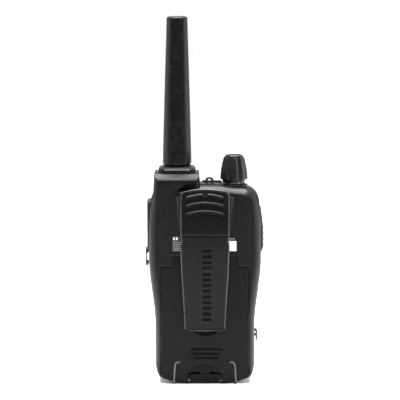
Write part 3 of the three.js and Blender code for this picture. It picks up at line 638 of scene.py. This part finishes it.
def rear_cover():
    rear_half = box("rear_half", ALL_X, (2 * BEHIND, REAR_FACE), ALL_Z)
    shell = combine(casing(REAR_STEP, "rear_cover"), [rear_half], "INTERSECT")
    tub = hollow("tub", WALL + 0.35, REAR_FACE - 1, 9.2, (-23.6, 23.6), (0, BAY_TOP + 1.2))
    combine(shell, [tub, *rails()], "UNION")
    half, tongue = DOOR_HALF + GAP, TONGUE_HALF + GAP
    cutters = [
        hollow("bay", 3.6, BAY_BACK - 1, BAY_FLOOR, (-BAY_HALF, BAY_HALF), (0, BAY_TOP)),
        hollow("upper", WALL, CASE_BACK + WALL, REAR_FACE + 1, ALL_X, (BAY_TOP + 1.4, CAVITY_TOP)),
        slab("recess", rounded(-half, half, -8, DOOR_TOP + GAP, 1.0), BEHIND, BAY_BACK),
        slab("tongue_recess", rounded(-tongue, tongue, 50, TONGUE_TOP + GAP, 1.0), BEHIND,
             TONGUE_INNER + GAP),
        box("latch_room", (-LATCH_HALF - 2.6, LATCH_HALF + 2.6), (BEHIND, -5.4), (-5, LATCH_TOP + 2.6)),
        *top_holes(),
        *[bar("screw_hole", "y", (BEHIND, AHEAD), place, 1.2) for place in SCREWS],
        *[bar("screw_seat", "y", (BEHIND, CASE_BACK + 1.1), place, 2.3) for place in SCREWS[:2]],
    ]
    combine(shell, cutters)
    soften(shell, 0.28)
    finish(shell, "body", "casing", ["rear_shell"])
    # The rails' sloping outer sides are painted lighter: a painted highlight.
    paint(shell, PAINTED_HIGHLIGHT, lambda x, y, z: (CASE_BACK - 2 < y < CASE_BACK - 0.1 and 13.2 < abs(x) < 16.4
                                       and RAIL_LOW - 1 < z < RAIL_TOP + 1))


def battery_door():
    """The T-shaped door, with a scoop under the clip, another over the latch, and plain grip bars."""
    plate = slab("door", rounded(-DOOR_HALF, DOOR_HALF, -8, DOOR_TOP, 0.8), BEHIND, DOOR_INNER)
    tongue_outline = rounded(-TONGUE_HALF, TONGUE_HALF, DOOR_TOP - 4, TONGUE_TOP, 0.8)
    tongue = slab("tongue", tongue_outline, BEHIND, TONGUE_INNER)
    combine(plate, [tongue], "UNION")
    combine(plate, [casing(REAR_STEP)], "INTERSECT")
    combine(plate, [box("cheek", (x - 0.9, x + 0.9), (-8.6, -6.8), (0.9, 7)) for x in (-9.5, 9.5)], "UNION")
    side, spring = LATCH_HALF + 0.4, LATCH_TOP + 0.45
    arch = [(-side, -5), (side, -5), (side, spring)]
    arch += bezier(arch[-1], (0, LATCH_TOP + 1.7), (-side, spring), steps=16)
    middle_x, thick = 0.8, 1.3
    bars = [slab("grip", rounded(middle_x - half, middle_x + half, z - thick / 2, z + thick / 2, 0.6), BEHIND,
                 CASE_BACK + 0.55) for half, z in ((8.4, 18.9), (7.4, 16.5), (6.4, 14.1))]
    contact_beds = [slab("bed", rounded(x - 2.7, x + 2.7, 1.4, 11.4, 1.2), BEHIND, CASE_BACK + 0.3)
                    for x in (-13.3, 13.3)]
    cutters = [
        slab("latch_gap", arch, BEHIND, -5),
        bar(*LATCH_PIN_HOLE),
        ellipsoid("finger_scoop", (0.5, CASE_BACK - 0.1, 31), (7.6, 1.25, 5)),
        ellipsoid("thumb_scoop", (0, CASE_BACK - 0.15, 6.2), (8, 1.3, 4.2)),
    ]
    combine(plate, cutters)
    soften(plate, 0.25)
    combine(plate, [*bars, *contact_beds])
    soften(plate, 0.08, merge=0.001)
    finish(plate, "door", "door_plastic", ["battery_door"])
    # The faces inside the grip grooves are painted darker: painted shade.
    paint(plate, PAINTED_SHADE, lambda x, y, z: (abs(x - middle_x) < 8.4 and 13.4 < z < 19.6
                                          and CASE_BACK + 0.12 < y < CASE_BACK + 0.7))


def latch():
    """The latch's tab: a plate with a raised rim and two grip lines, on a barrel."""
    front = LATCH_Y - 1.1
    tab = slab("latch_tab", rounded(-LATCH_HALF, LATCH_HALF, LATCH_LOW, LATCH_TOP, 0.7), front, LATCH_Y + 0.5,
               round_edge(0.35, 3))
    barrel = bar("barrel", "x", (-LATCH_HALF, LATCH_HALF), (LATCH_Y, LATCH_LOW), 1.1, 40)
    combine(tab, [barrel], "UNION")
    field = rounded(1 - LATCH_HALF, LATCH_HALF - 1, LATCH_LOW + 0.8, LATCH_TOP - 0.8, 0.5)
    combine(tab, [slab("field", field, BEHIND, front + 0.25), bar(*LATCH_PIN_HOLE)])
    grips = [box("grip", (-5, 5), (front + 0.05, front + 0.6), (z - 0.18, z + 0.18)) for z in (3.0, 4.0)]
    combine(tab, grips, "UNION")
    soften(tab, 0.12)
    finish(tab, "latch", "door_plastic", ["door_latch"])


def charge_contact(side, node):
    """A sprung strip up the door, curled inwards at the top, with a round nub at the foot."""
    path = [(16.5, 0.5), (16.35, 3), (16.2, 6), (16.05, 8.6)]
    path += bezier(path[-1], (15.9, 11.3), (15.5, 11.9), (13.3, 11.8), steps=16)
    half_width = 0.44
    left, right = [], []
    for (x, z), (x0, z0), (x1, z1) in zip(path, path[:1] + path, path[1:] + path[-1:]):
        across = Vector((z1 - z0, x0 - x1)).normalized() * half_width
        left.append((x - across.x, z - across.y))
        right.append((x + across.x, z + across.y))
    outline = on_side(right + left[::-1], side)
    strip = slab(node + "_strip", outline, CASE_BACK - 0.4, CASE_BACK - 0.1, round_edge(0.12, 3))
    nub = turned("nub", [(0, 0), (0.3, 0.02), (0.52, 0.14), (0.65, 0.32), (0.65, 0.6), (0, 0.6)], (0, 0), 24)
    turn_mesh(nub, "X", -90).data.transform(Matrix.Translation((side * 16.4, CASE_BACK - 0.7, 0.72)))
    combine(strip, [nub], "UNION")
    finish(strip, "door", "contact_steel", [node], DARK_METAL)


def seal_strip():
    ring = slab("seal_strip", inset(OUTLINE, 0.5), *SEAM, round_edge(0.15, 2), round_edge(0.15, 2))
    combine(ring, [slab("inner", inset(OUTLINE, 1.5), BEHIND, AHEAD), boss_body(),
                   box("top", ALL_X, (BEHIND, AHEAD), (100, 130))])
    finish(ring, "body", "soft_rubber", ["case_seal"])


# ---- antenna and knob

def antenna_collar():
    """The collar under the antenna: rounded shoulders and a sloping middle, with grooves between them."""
    (x0, x1), (y0, y1), (low, top) = span("antenna_collar")
    back = y0 - 0.9
    block = upright("collar", rounded(x0, x1, -y1, -back, 4), low, top, SHARP, round_edge(2, 8))
    groove_x = [ANTENNA_X - 7.05, ANTENNA_X + 7.05]
    slope = [(back - 2, low + 1.0), (back, low + 1.1), (back + 1.35, top - 0.65), (back + 1.5, top + 0.1),
             (back - 2, top + 1)]
    grooves = [box("groove", (x - 0.2, x + 0.2), (back - 1, back + 2.4), (low + 0.6, top + 1))
               for x in groove_x]
    line = box("line", groove_x, (back - 1, back + 0.9), (low + 0.75, low + 1.1))
    combine(block, [bar("hole", "z", (100, 130), (ANTENNA_X, ANTENNA_Y), SPIGOT_HOLE), line,
                    on_right("slope", slope, groove_x[1], groove_x[0]), *grooves])
    soften(block, 0.15)
    finish(block, "body", "casing", ["antenna_collar"])


def antenna():
    """The tapered sleeve, tucked in at its foot, with a domed tip."""
    low, top = ANTENNA_LOW, ANTENNA_TOP
    base, tip = span("antenna_sleeve")[0][1] - ANTENNA_X, 5.5

    def side(z):
        return base + (tip - base) * (z - low) / (top - low)
    profile = [(0, top - 8), (2.9, top - 8), (2.9, low + 3.2), (SPIGOT_HOLE, low + 3.2), (SPIGOT_HOLE, low),
               (base - 1.2, low), (base - 0.75, low + 0.12), (base - 0.3, low + 0.7),
               (side(low + 1.3), low + 1.3)]
    profile += [(side(z), z) for z in (low + 6, low + 16, low + 30, low + 44, low + 58, low + 70, top - 2.4)]
    dome = 1.3
    profile += arc(side(top - dome) - dome, top - dome, dome, 0, 90, 10) + [(2.2, top), (0, top)]
    sleeve = turned("antenna", profile, (ANTENNA_X, ANTENNA_Y), 96)
    finish(sleeve, "body", "antenna_rubber", ["antenna_sleeve"])


def knob():
    """The bell-shaped knob with eight narrow flutes, a dished top and a dark hub beneath."""
    low, top, hub, hub_radius = KNOB_LOW, KNOB_TOP, KNOB_LOW - 1.3, 6.15
    foot_radius = span("volume_knob")[0][1] - KNOB_X
    pitch = 2 * math.pi / 8

    def reach(angle, radius, z):
        share = (z - low) / (top - low)
        if radius < 4.2 or share < 0:
            return radius
        off = angle % pitch - pitch / 2
        depth = 0.85 * math.exp(-(off * radius / 1.05) ** 2)
        return radius - depth * min(1, max(0, (0.97 - share) / 0.12))

    def side(share):
        return foot_radius - 0.05 + (5.1 - foot_radius) * share ** 1.75

    profile = [(0, low + 9.3), (3.1, low + 9.3), (3.1, hub), (hub_radius - 0.25, hub),
               (hub_radius, hub + 0.25), (hub_radius, low - 0.05), (foot_radius - 0.6, low),
               (foot_radius - 0.2, low + 0.12), (foot_radius - 0.06, low + 0.4)]
    profile += [(side(share), low + (top - low) * share) for share in (k / 16 for k in range(1, 15))]
    rim, dish = 4.75, 3.4
    profile += [(rim + 0.14, top - 0.85), (rim - 0.05, top - 0.4), (rim - 0.4, top - 0.1), (rim - 0.8, top),
                (dish + 0.12, top - 0.02), (dish, top - 0.15)]
    profile += [(dish * (1 - k / 6), top - 0.4 - 0.16 * math.sin(math.pi / 2 * k / 6)) for k in range(7)]
    cap = turned("knob_cap", profile, (KNOB_X, KNOB_Y), 192, reach=reach)
    finish(cap, "knob", "knob_plastic", ["volume_knob"], crease=50)


def knob_collar():
    low = span("knob_collar")[2][0]
    outer = span("knob_collar")[0][1] - KNOB_X
    profile = [(SPIGOT_HOLE, low), (outer, low), (outer, low + 1.5), (outer - 0.12, low + 1.75),
               (outer - 0.4, low + 1.9), (outer - 1.1, low + 2.2), (outer - 1.4, low + 2.3),
               (SPIGOT_HOLE, low + 2.3)]
    ring = turned("knob_seat", profile, (KNOB_X, KNOB_Y), 96, closed=True)
    finish(ring, "body", "casing", ["knob_collar"])


# ---- belt clip

def clip_outer(z):
    """How far back the clip's outer face lies: bent at the pivot, falling towards both ends."""
    if z > PIN_Z:
        return CLIP_OUTER + 2.1 * ((z - PIN_Z) / (CLIP_TOP - PIN_Z)) ** 1.5
    return CLIP_OUTER + 5.8 * min(1, (PIN_Z - z) / (PIN_Z - CLIP_LOW)) ** 1.7


def clip_half(z):
    """The plate's half-width at height z, with a small nick beside the hinge line."""
    widening = smooth(-0.1, 0.62, (z - CLIP_LOW) / (CLIP_TOP - CLIP_LOW))
    nick = 0.3 * smooth(3.0, 0.5, abs(z - PIN_Z + 2.4))
    return CLIP_LOW_HALF + (CLIP_TOP_HALF - CLIP_LOW_HALF) * widening - nick


def clip_crown(share):
    """The height of the plate's top edge at a share of its half-width."""
    return CLIP_TOP - 1.4 * share ** 2


def clip_edge(x, z):
    """How far a point of the plate lies inside its edge."""
    half = clip_half(z)
    top = clip_crown(x / half)
    corner = math.hypot(max(0, abs(x) - half + CLIP_CORNER), max(0, z - top + CLIP_CORNER))
    return min(half - abs(x), top - z, z - CLIP_LOW + 0.4, CLIP_CORNER - corner)


def fall_off(size, distance):
    """How far a round edge of this size falls back at a distance from the edge."""
    into = 1 - min(1, distance / size)
    return size * (1 - math.sqrt(max(0, 1 - into ** 2)))


def clip_relief(x, z, edge):
    """The height of the outer face's mouldings at x, z, with edge the distance in from the plate's edge."""
    height = -0.28 * smooth(0.9, 1.35, edge) - 0.3 * smooth(0.5, 0.1, abs(z - PIN_Z))
    ends = smooth(10.0, 9.7, abs(x + 0.1))
    for k, rib_z in enumerate((102.2, 97.9, 93.5)):
        below = rib_z - 1.65 * (x / 10) ** 2 - z  # distance under the ledge's crest
        thick = 0.45 + 0.3 * (x / 10) ** 2
        ledge = smooth(-1.05, 0.05, below) * smooth(thick + 0.35, thick, below)
        scoop = smooth(thick, thick + 0.4, below) * smooth(3.4, 0.8, below)
        notch = smooth(0.9, 1.2, abs(x)) if k == 0 else 1
        height += ends * (0.82 * ledge * notch - 0.22 * scoop)
    bead = 0.5 * smooth(0.95, 0.2, math.hypot(x, z - 103.9))
    tab = 0.6 * smooth(0.65, 0.35, max(abs(x), abs(z - 101.8) * 0.8))
    beside = max(abs(x - 1) - 1.5, min(abs(z - 35.5 - 3.1 * k) for k in range(13)))
    return height + max(bead, tab) - 0.6 * smooth(0.78, 0.5, beside)


def hinge_arms(place, half_width, back, front, radius):
    """A pair of arms that carry the pin in their round ends."""
    made = []
    for side in (-1, 1):
        xs = (side * place - half_width, side * place + half_width)
        made += [box("arm", xs, (back, front), (PIN_Z - radius, PIN_Z + radius)),
                 bar("ear", "x", xs, (PIN_Y, PIN_Z), radius, 40)]
    return made


def belt_clip():
    """The sprung plate, with a fine grid of points over both faces, and its arms and lower lip."""
    rows, columns = 260, 84
    rim, foot = 0.8, 1.6  # the rounding of the outer edge, and of the lower corners
    rings = []
    for j in range(rows + 1):
        v = j / rows
        up = 0.6 * v + 0.2 * (1 - math.cos(math.pi * v))
        out_row, in_row = [], []
        for i in range(columns + 1):
            # Points crowd towards the edges, so that the rounding there is fine
            across = 2 * i / columns - 1
            share = 0.55 * across + 0.45 * math.sin(math.pi / 2 * math.sin(math.pi / 2 * across))
            top, low = clip_crown(share), CLIP_LOW - 0.5 * (1 - share ** 2)
            z = low + (top - low) * up
            half = clip_half(z) - fall_off(CLIP_CORNER, top - z) - fall_off(foot, z - low)
            x = share * half
            edge = min((1 - abs(share)) * half, top - z, z - low)
            fall = fall_off(rim, edge)
            y = clip_outer(z) + fall - clip_relief(x, z, edge) * min(1, edge / 0.3)
            out_row.append((x, max(y, CLIP_OUTER), z))
            in_row.append((x, clip_outer(z) + CLIP_THICK - 0.15 * fall / rim, z))
        rings.append(out_row + in_row[::-1])
    plate = tidy(loft("clip_lever", rings, strips=True), 1e-5)
    lip = slab("lip", rounded(-8.6, 8.6, 29.7, 31.9, 0.9), clip_outer(31) + 0.8, CASE_BACK - 0.6, SHARP,
               round_edge(0.5, 4))
    combine(plate, [*hinge_arms(5.7, 1.1, CLIP_OUTER + 1, PIN_Y, 2.1), lip], "UNION")
    combine(plate, [bar("pin_hole", "x", (-12, 12), (PIN_Y, PIN_Z), 1.4, 40)])
    finish(plate, "clip_lever", "clip_plastic", ["belt_clip"], crease=44)
    # The short grooves down the clip's lower face are painted darker: painted shade.
    paint(plate, PAINTED_SHADE, lambda x, y, z: (0.55 < y - clip_outer(z) < 1.2 and abs(x - 1) < 2.2
                                          and 34.5 < z < 73.7))
    # The clip's rounded outer rim is painted lighter: a painted highlight.
    paint(plate, PAINTED_HIGHLIGHT, lambda x, y, z: y - clip_outer(z) < 1 and clip_edge(x, z) < 0.62)


def clip_bracket():
    (x0, x1), (_, back_face), (_, top) = span("clip_bracket")
    low, back = 79.8, -11
    plate = slab("bracket", rounded(x0, x1, low, top, 1.2), back, back_face, round_edge(0.25, 3))
    ribs = [box("rib", (x - 0.5, x + 0.5), (back - 0.7, back + 0.2), (low + 4, top - 2)) for x in (-4, 4)]
    combine(plate, hinge_arms(8.1, 0.9, PIN_Y, back + 0.4, 2) + ribs, "UNION")
    combine(plate, [bar("pin_hole", "x", (-12, 12), (PIN_Y, PIN_Z), 1.35, 40)])
    soften(plate, 0.2)
    finish(plate, "clip_base", "clip_plastic", ["clip_bracket"])


# ---- side pieces

PTT = {"y": 5.4, "z": 81.5, "width": 10, "height": 24.4, "corner": 4, "outer": 31.2}
JACK = {"y": 5.4, "low": 69.6, "top": 97.5, "tab_low": 61.8, "width": 10.4, "corner": 3, "outer": -30.8}
CHARGE = {"y": 13, "z": 22.9, "width": 5.6, "height": 7.4, "corner": 2.6, "outer": 28.3}
JACK_SOCKETS = [(88, 1.1, 2.6), (77, 0.9, 2.1)]  # each one's height, plug radius and hole radius


def centred(place, clearance):
    """A rounded outline of a side piece about its middle."""
    y, z = place["y"], place["z"]
    across, up = place["width"] / 2 + clearance, place["height"] / 2 + clearance
    return rounded(y - across, y + across, z - up, z + up, place["corner"] + clearance)


def jack_outline(clearance):
    y, half = -JACK["y"], JACK["width"] / 2 + clearance
    return rounded(y - half, y + half, JACK["low"] - clearance, JACK["top"] + clearance,
                   JACK["corner"] + clearance)


def talk_button():
    outer = PTT["outer"]
    cap = on_right("talk_bar", centred(PTT, 0), outer, 26.3, round_edge(1.1, 6))
    ribs = [ellipsoid("rib", (outer - 0.35, PTT["y"], z), (0.68, 4.1, 0.95), 32)
            for z in (72.9, 76, 79.1, 82.2)]
    combine(cap, [on_right("flange", centred(PTT, 0.9), 26.9, 26.3), *ribs], "UNION")
    field = {**PTT, "width": 6.4, "height": 18.6, "corner": 2.6}
    groove = on_right("groove", centred(field, 0.3), 40, outer - 0.2)
    combine(groove, [on_right("inner", centred(field, 0), 41, 20)])
    combine(cap, [groove])
    root = CASE_HALF - 1.2  # outside this the bar stands out less towards its ends
    for vertex in cap.data.vertices:
        x, _, z = vertex.co
        if x > root:
            swell = 0.5 + 0.5 * smooth(PTT["z"] + 12, PTT["z"] - 1, z) - 0.2 * smooth(73, 69, z)
            vertex.co.x = root + (x - root) * swell
    finish(cap, "ptt", "soft_rubber", ["ptt_button"])


def jack_cover():
    flap = on_left("jack_flap", jack_outline(0), JACK["outer"], -28.9, round_edge(0.8, 6))
    y, half = -JACK["y"], JACK["width"] / 2 - 1
    tab_outline = rounded(y - half, y + half, JACK["tab_low"], JACK["low"] + 2, JACK["corner"])
    tab = on_left("tab", tab_outline, JACK["outer"] - 1, -30.1, round_edge(0.8, 6))
    plugs = [bar("plug", "x", (-29.5, -25.2), (JACK["y"], z), radius) for z, radius, _ in JACK_SOCKETS]
    combine(flap, [tab, *plugs], "UNION")
    grips = [box("grip", (JACK["outer"] - 2, JACK["outer"] - 0.82), (JACK["y"] - 2.6, JACK["y"] + 2.6),
                 (z - 0.25, z + 0.25)) for z in (64.6, 66.0, 67.4)]
    dents = [ellipsoid("dent", (JACK["outer"] - 0.1, JACK["y"], z), (0.4, radius, radius), 40)
             for z, radius in ((88, 3.2), (77.4, 2.6))]
    gap = slab("gap", rounded(-31.0, -29.4, 64.0, 68.9, 0.6), -5, 15)
    combine(flap, [*grips, *dents, gap])
    finish(flap, "jack_cover", "soft_rubber", ["side_jack_cover"])


def charge_cover():
    dome = on_right("charge_flap", centred(CHARGE, 0), CHARGE["outer"], 25.7, round_edge(1.4, 7))
    combine(dome, [slab("gap", rounded(26.6, 27.15, 18, 25.1, 0.25), 5, 20)])
    combine(dome, [bar("plug", "x", (24.6, 28), (CHARGE["y"], CHARGE["z"]), 0.8)], "UNION")
    combine(dome, [bar("nick", "y", (5, 20), (CHARGE["outer"] + 0.1, CHARGE["z"] - 1.8), 0.45, 20)])
    finish(dome, "charge_cover", "soft_rubber", ["charge_jack_cover"])


# ---- front half

def around(node, clearance, radius):
    """A rounded outline at a distance round a CAD node."""
    (x0, x1), _, (z0, z1) = span(node)
    return rounded(x0 - clearance, x1 + clearance, z0 - clearance, z1 + clearance, radius)


def key_outline(name, clearance):
    return around(name, clearance - KEY_FLANGE, 2.4 + clearance)


def window_outline(clearance):
    return around("display_window", clearance, 2 + clearance)


def front_cover():
    front_half = box("front_half", ALL_X, (FRONT_FACE, 2 * AHEAD), ALL_Z)
    shell = combine(casing(0, "front_cover"), [front_half], "INTERSECT")
    x0, x1, x, top = 0.2, 4.6, 2.4, 109.2
    arch = [(x0, 103), (x1, 103)] + bezier((x1, 106.9), (x1, top), (x, top), steps=10)
    arch += bezier((x, top), (x0, top), (x0, 106.9), steps=10)
    loop = slab("loop", arch, 4.8, 7.2, round_edge(0.4, 4), round_edge(0.4, 4))
    ridge = slab("ridge", [(-1.5, 104), (9, 104), (9, CASE_TOP + 0.62), (-1.5, CASE_TOP + 0.75)], 9.2, 12.2)
    combine(shell, [loop, ridge], "UNION")
    through = (11, CASE_FRONT + 5)
    slots = []
    for k in range(7):
        rise = (k - 3) * 4.1
        half, z = math.sqrt(SPEAKER_RADIUS ** 2 - rise ** 2), SPEAKER_Z + rise
        slots.append(slab("slot", rounded(-half, half, z - 0.85, z + 0.85, 0.8, 4), *through))
    rim_section = [(SPEAKER_RADIUS + out, y) for out, y in ((1.2, 0), (1.9, -0.5), (2.6, 0), (1.9, 0.5))]
    rim = turn_mesh(turned("rim", rim_section, (0, 0), 96, closed=True), "X", 90)
    rim.data.transform(Matrix.Translation((0, CASE_FRONT, SPEAKER_Z)))
    cutters = [
        hollow("cavity", WALL, FRONT_FACE - 1, CASE_FRONT - WALL, ALL_X, (-5, CAVITY_TOP)),
        *top_holes(),
        *slots,
        rim,
        bar("sound_hole", "y", through, (17.5, 43.2), 0.8),
        slab("eye", rounded(1.45, 3.35, 106.35, 108.1, 0.85, 6), 3, 9),
        slab("bezel_pocket", around("front_bezel", GAP, 6 + GAP), span("front_bezel")[1][0] - GAP, AHEAD),
        slab("window_pocket", window_outline(GAP), 17, AHEAD),
        box("display_room", (-16.2, 16.2), through, (73, 94)),
        *[slab("key_hole", key_outline(name, KEY_GAP), *through) for name in KEYS],
        on_right("talk_hole", centred(PTT, 0.35), 35, 20),
        on_left("jack_recess", jack_outline(GAP), -35, -28.6),
        *[bar("jack_hole", "x", (-35, -20), (JACK["y"], z), radius) for z, _, radius in JACK_SOCKETS],
        on_right("charge_recess", centred(CHARGE, GAP), 35, 25.4),
        bar("charge_hole", "x", (20, 35), (CHARGE["y"], CHARGE["z"]), 1.7),
    ]
    combine(shell, cutters)
    soften(shell, 0.28)
    finish(shell, "body", "casing", ["front_shell"])
    # The top of the loop on the casing's top is painted lighter: a painted highlight.
    paint(shell, PAINTED_HIGHLIGHT, lambda x, y, z: 0 < x < 4.8 and 4.6 < y < 7.4 and z > CASE_TOP + 0.2)


def bezel():
    plate = slab("bezel", around("front_bezel", 0, 6), *span("front_bezel")[1], SHARP, round_edge(0.5, 5))
    combine(plate, [slab("window_hole", window_outline(GAP), 10, AHEAD),
                    *[slab("key_hole", key_outline(name, KEY_GAP), 10, AHEAD) for name in KEYS]])
    soften(plate, 0.15)
    finish(plate, "body", "bezel_plastic", ["front_bezel"])


def window():
    pane = slab("window_pane", window_outline(0), *span("display_window")[1], SHARP, round_edge(0.3, 4))
    finish(pane, "body", "window", ["display_window"])


def key_cap(name):
    """A key with a crowned face and a plain raised mark."""
    _, (back, front), _ = span(name)
    x, _, z = middle(name)
    cap = slab(name + "_cap", key_outline(name, 0), back, front - 0.05, SHARP, round_edge(0.8, 6))
    flange = slab("flange", key_outline(name, KEY_FLANGE), back + 3, back + 3.8)
    mark = rounded(x - 1.5, x + 1.5, z - 0.35, z + 0.35, 0.3, 4)
    if name in ("key_up", "key_down"):
        tip = 1 if name == "key_up" else -1
        mark = [(x, z + tip * 1.1), (x - tip * 1.6, z - tip * 0.8), (x + tip * 1.6, z - tip * 0.8)]
    combine(cap, [flange, slab("mark", mark, front - 1, front)], "UNION")
    soften(cap, 0.06)
    finish(cap, name, "key_rubber", [name])


# ---- labels

def printed(name, outline, back, front, slot="label_print", material=PRINT):
    finish(slab(name, outline, back, front), "body", slot, [], material)


def id_label():
    """A thin plate on the back with plain grey print lines and two short white bars, all blank of text."""
    (x0, x1), (y0, y1), _ = span("id_label")
    plate = slab("label_plate", around("id_label", 0, 0.5), y0 + 0.06, y1, round_edge(0.04, 2))
    finish(plate, "body", "label_print", ["id_label"])
    ink = (y0 + 0.02, y0 + 0.08)
    for k in range(5):
        z, right = 71.9 + 1.05 * k, x1 - (0.4 if k % 2 else 1.6)
        printed(f"print_line_{k + 1}", rounded(x0 + 0.5, right, z - 0.24, z + 0.24, 0.1, 2), *ink)
    for k, x in enumerate((x0 + 1.0, x0 + 2.5)):
        outline = rounded(x - 0.45, x + 0.45, 77.3, 78.7, 0.15, 2)
        printed(f"white_bar_{k + 1}", outline, *ink, "sticker", WHITE_PRINT)


def serial_sticker():
    (_, x1), (y0, y1), _ = span("serial_sticker")
    sheet = slab("blank_sticker", around("serial_sticker", 0, 0.4), y0 + 0.05, y1, round_edge(0.04, 2))
    finish(sheet, "body", "sticker", ["serial_sticker"])
    line = rounded(x1 - 3.6, x1 - 0.8, 77.6, 78.3, 0.15, 2)
    printed("print_line_6", line, CASE_BACK - 0.06, CASE_BACK + 0.1)


# ---- making everything

rear_cover()
battery_door()
latch()
charge_contact(-1, "charge_contact_left")
charge_contact(1, "charge_contact_right")
seal_strip()
antenna_collar()
antenna()
knob()
knob_collar()
belt_clip()
clip_bracket()
talk_button()
jack_cover()
charge_cover()
front_cover()
bezel()
window()
for key_name in KEYS:
    key_cap(key_name)
id_label()
serial_sticker()


# ---- camera, light and floor

VIEW_WIDTH = 0.2112  # metres across the picture at the casing's back face
DISTANCE = 1.5
AIM = Vector((-0.00264, CASE_BACK * MM, 0.09864))
ELEVATION = math.radians(7)


def aim(obj, target):
    obj.rotation_euler = (target - obj.location).to_track_quat("-Z", "Y").to_euler()


def camera():
    data = bpy.data.cameras.new("camera")
    data.lens = data.sensor_width * DISTANCE / VIEW_WIDTH
    data.clip_end = 100
    obj = new_object("camera", data)
    obj.location = AIM + DISTANCE * Vector((0, -math.cos(ELEVATION), math.sin(ELEVATION)))
    aim(obj, AIM)
    bpy.context.scene.camera = obj


def area_light(name, place, size, power):
    data = bpy.data.lights.new(name, "AREA")
    data.shape = "RECTANGLE"
    data.size, data.size_y = size
    data.energy = power
    obj = new_object(name, data)
    obj.location = place
    aim(obj, Vector((0, 0, 0.07)))


def studio():
    camera()
    area_light("left_softbox", (-1.0, 0.15, 0.4), (0.9, 1.1), 7.5)
    area_light("right_softbox", (1.0, 0.12, 0.4), (0.9, 1.1), 12)
    area_light("front_softbox", (0.0, -0.55, 1.15), (1.3, 0.5), 4)
    area_light("top_softbox", (0.0, 0.05, 0.62), (0.5, 0.42), 20)
    area_light("ceiling", (0.0, 4.5, 5.0), (10, 9), 350)
    world = bpy.data.worlds.new("studio")
    world.use_nodes = True
    nodes, links = world.node_tree.nodes, world.node_tree.links
    direction = nodes.new("ShaderNodeSeparateXYZ")
    links.new(nodes.new("ShaderNodeTexCoord").outputs["Generated"], direction.inputs["Vector"])
    front_to_back = nodes.new("ShaderNodeMapRange")
    front_to_back.interpolation_type = "SMOOTHSTEP"
    for socket, value in (("From Min", -0.6), ("From Max", 0.6), ("To Min", 0.8), ("To Max", 0.34)):
        front_to_back.inputs[socket].default_value = value
    links.new(direction.outputs["Y"], front_to_back.inputs["Value"])
    links.new(front_to_back.outputs["Result"], nodes["Background"].inputs["Strength"])
    nodes["Background"].inputs["Color"].default_value = (1, 1, 1, 1)
    bpy.context.scene.world = world
    bpy.context.scene.view_settings.view_transform = "Standard"


def floor():
    reach = 12
    corners = [(-reach, -reach, 0), (reach, -reach, 0), (reach, reach, 0), (-reach, reach, 0)]
    obj = mesh_object("floor", corners, [(0, 1, 2, 3)])
    s = Shader("pale_floor")
    tone = s.ramp(s.noise(90, 2), 0.3, 0.7)
    s.surface(Base_Color=s.blend(tone, (0.86, 0.86, 0.86), (0.89, 0.89, 0.89)), Roughness=0.7)
    obj.data.materials.append(s.material)


floor()
studio()
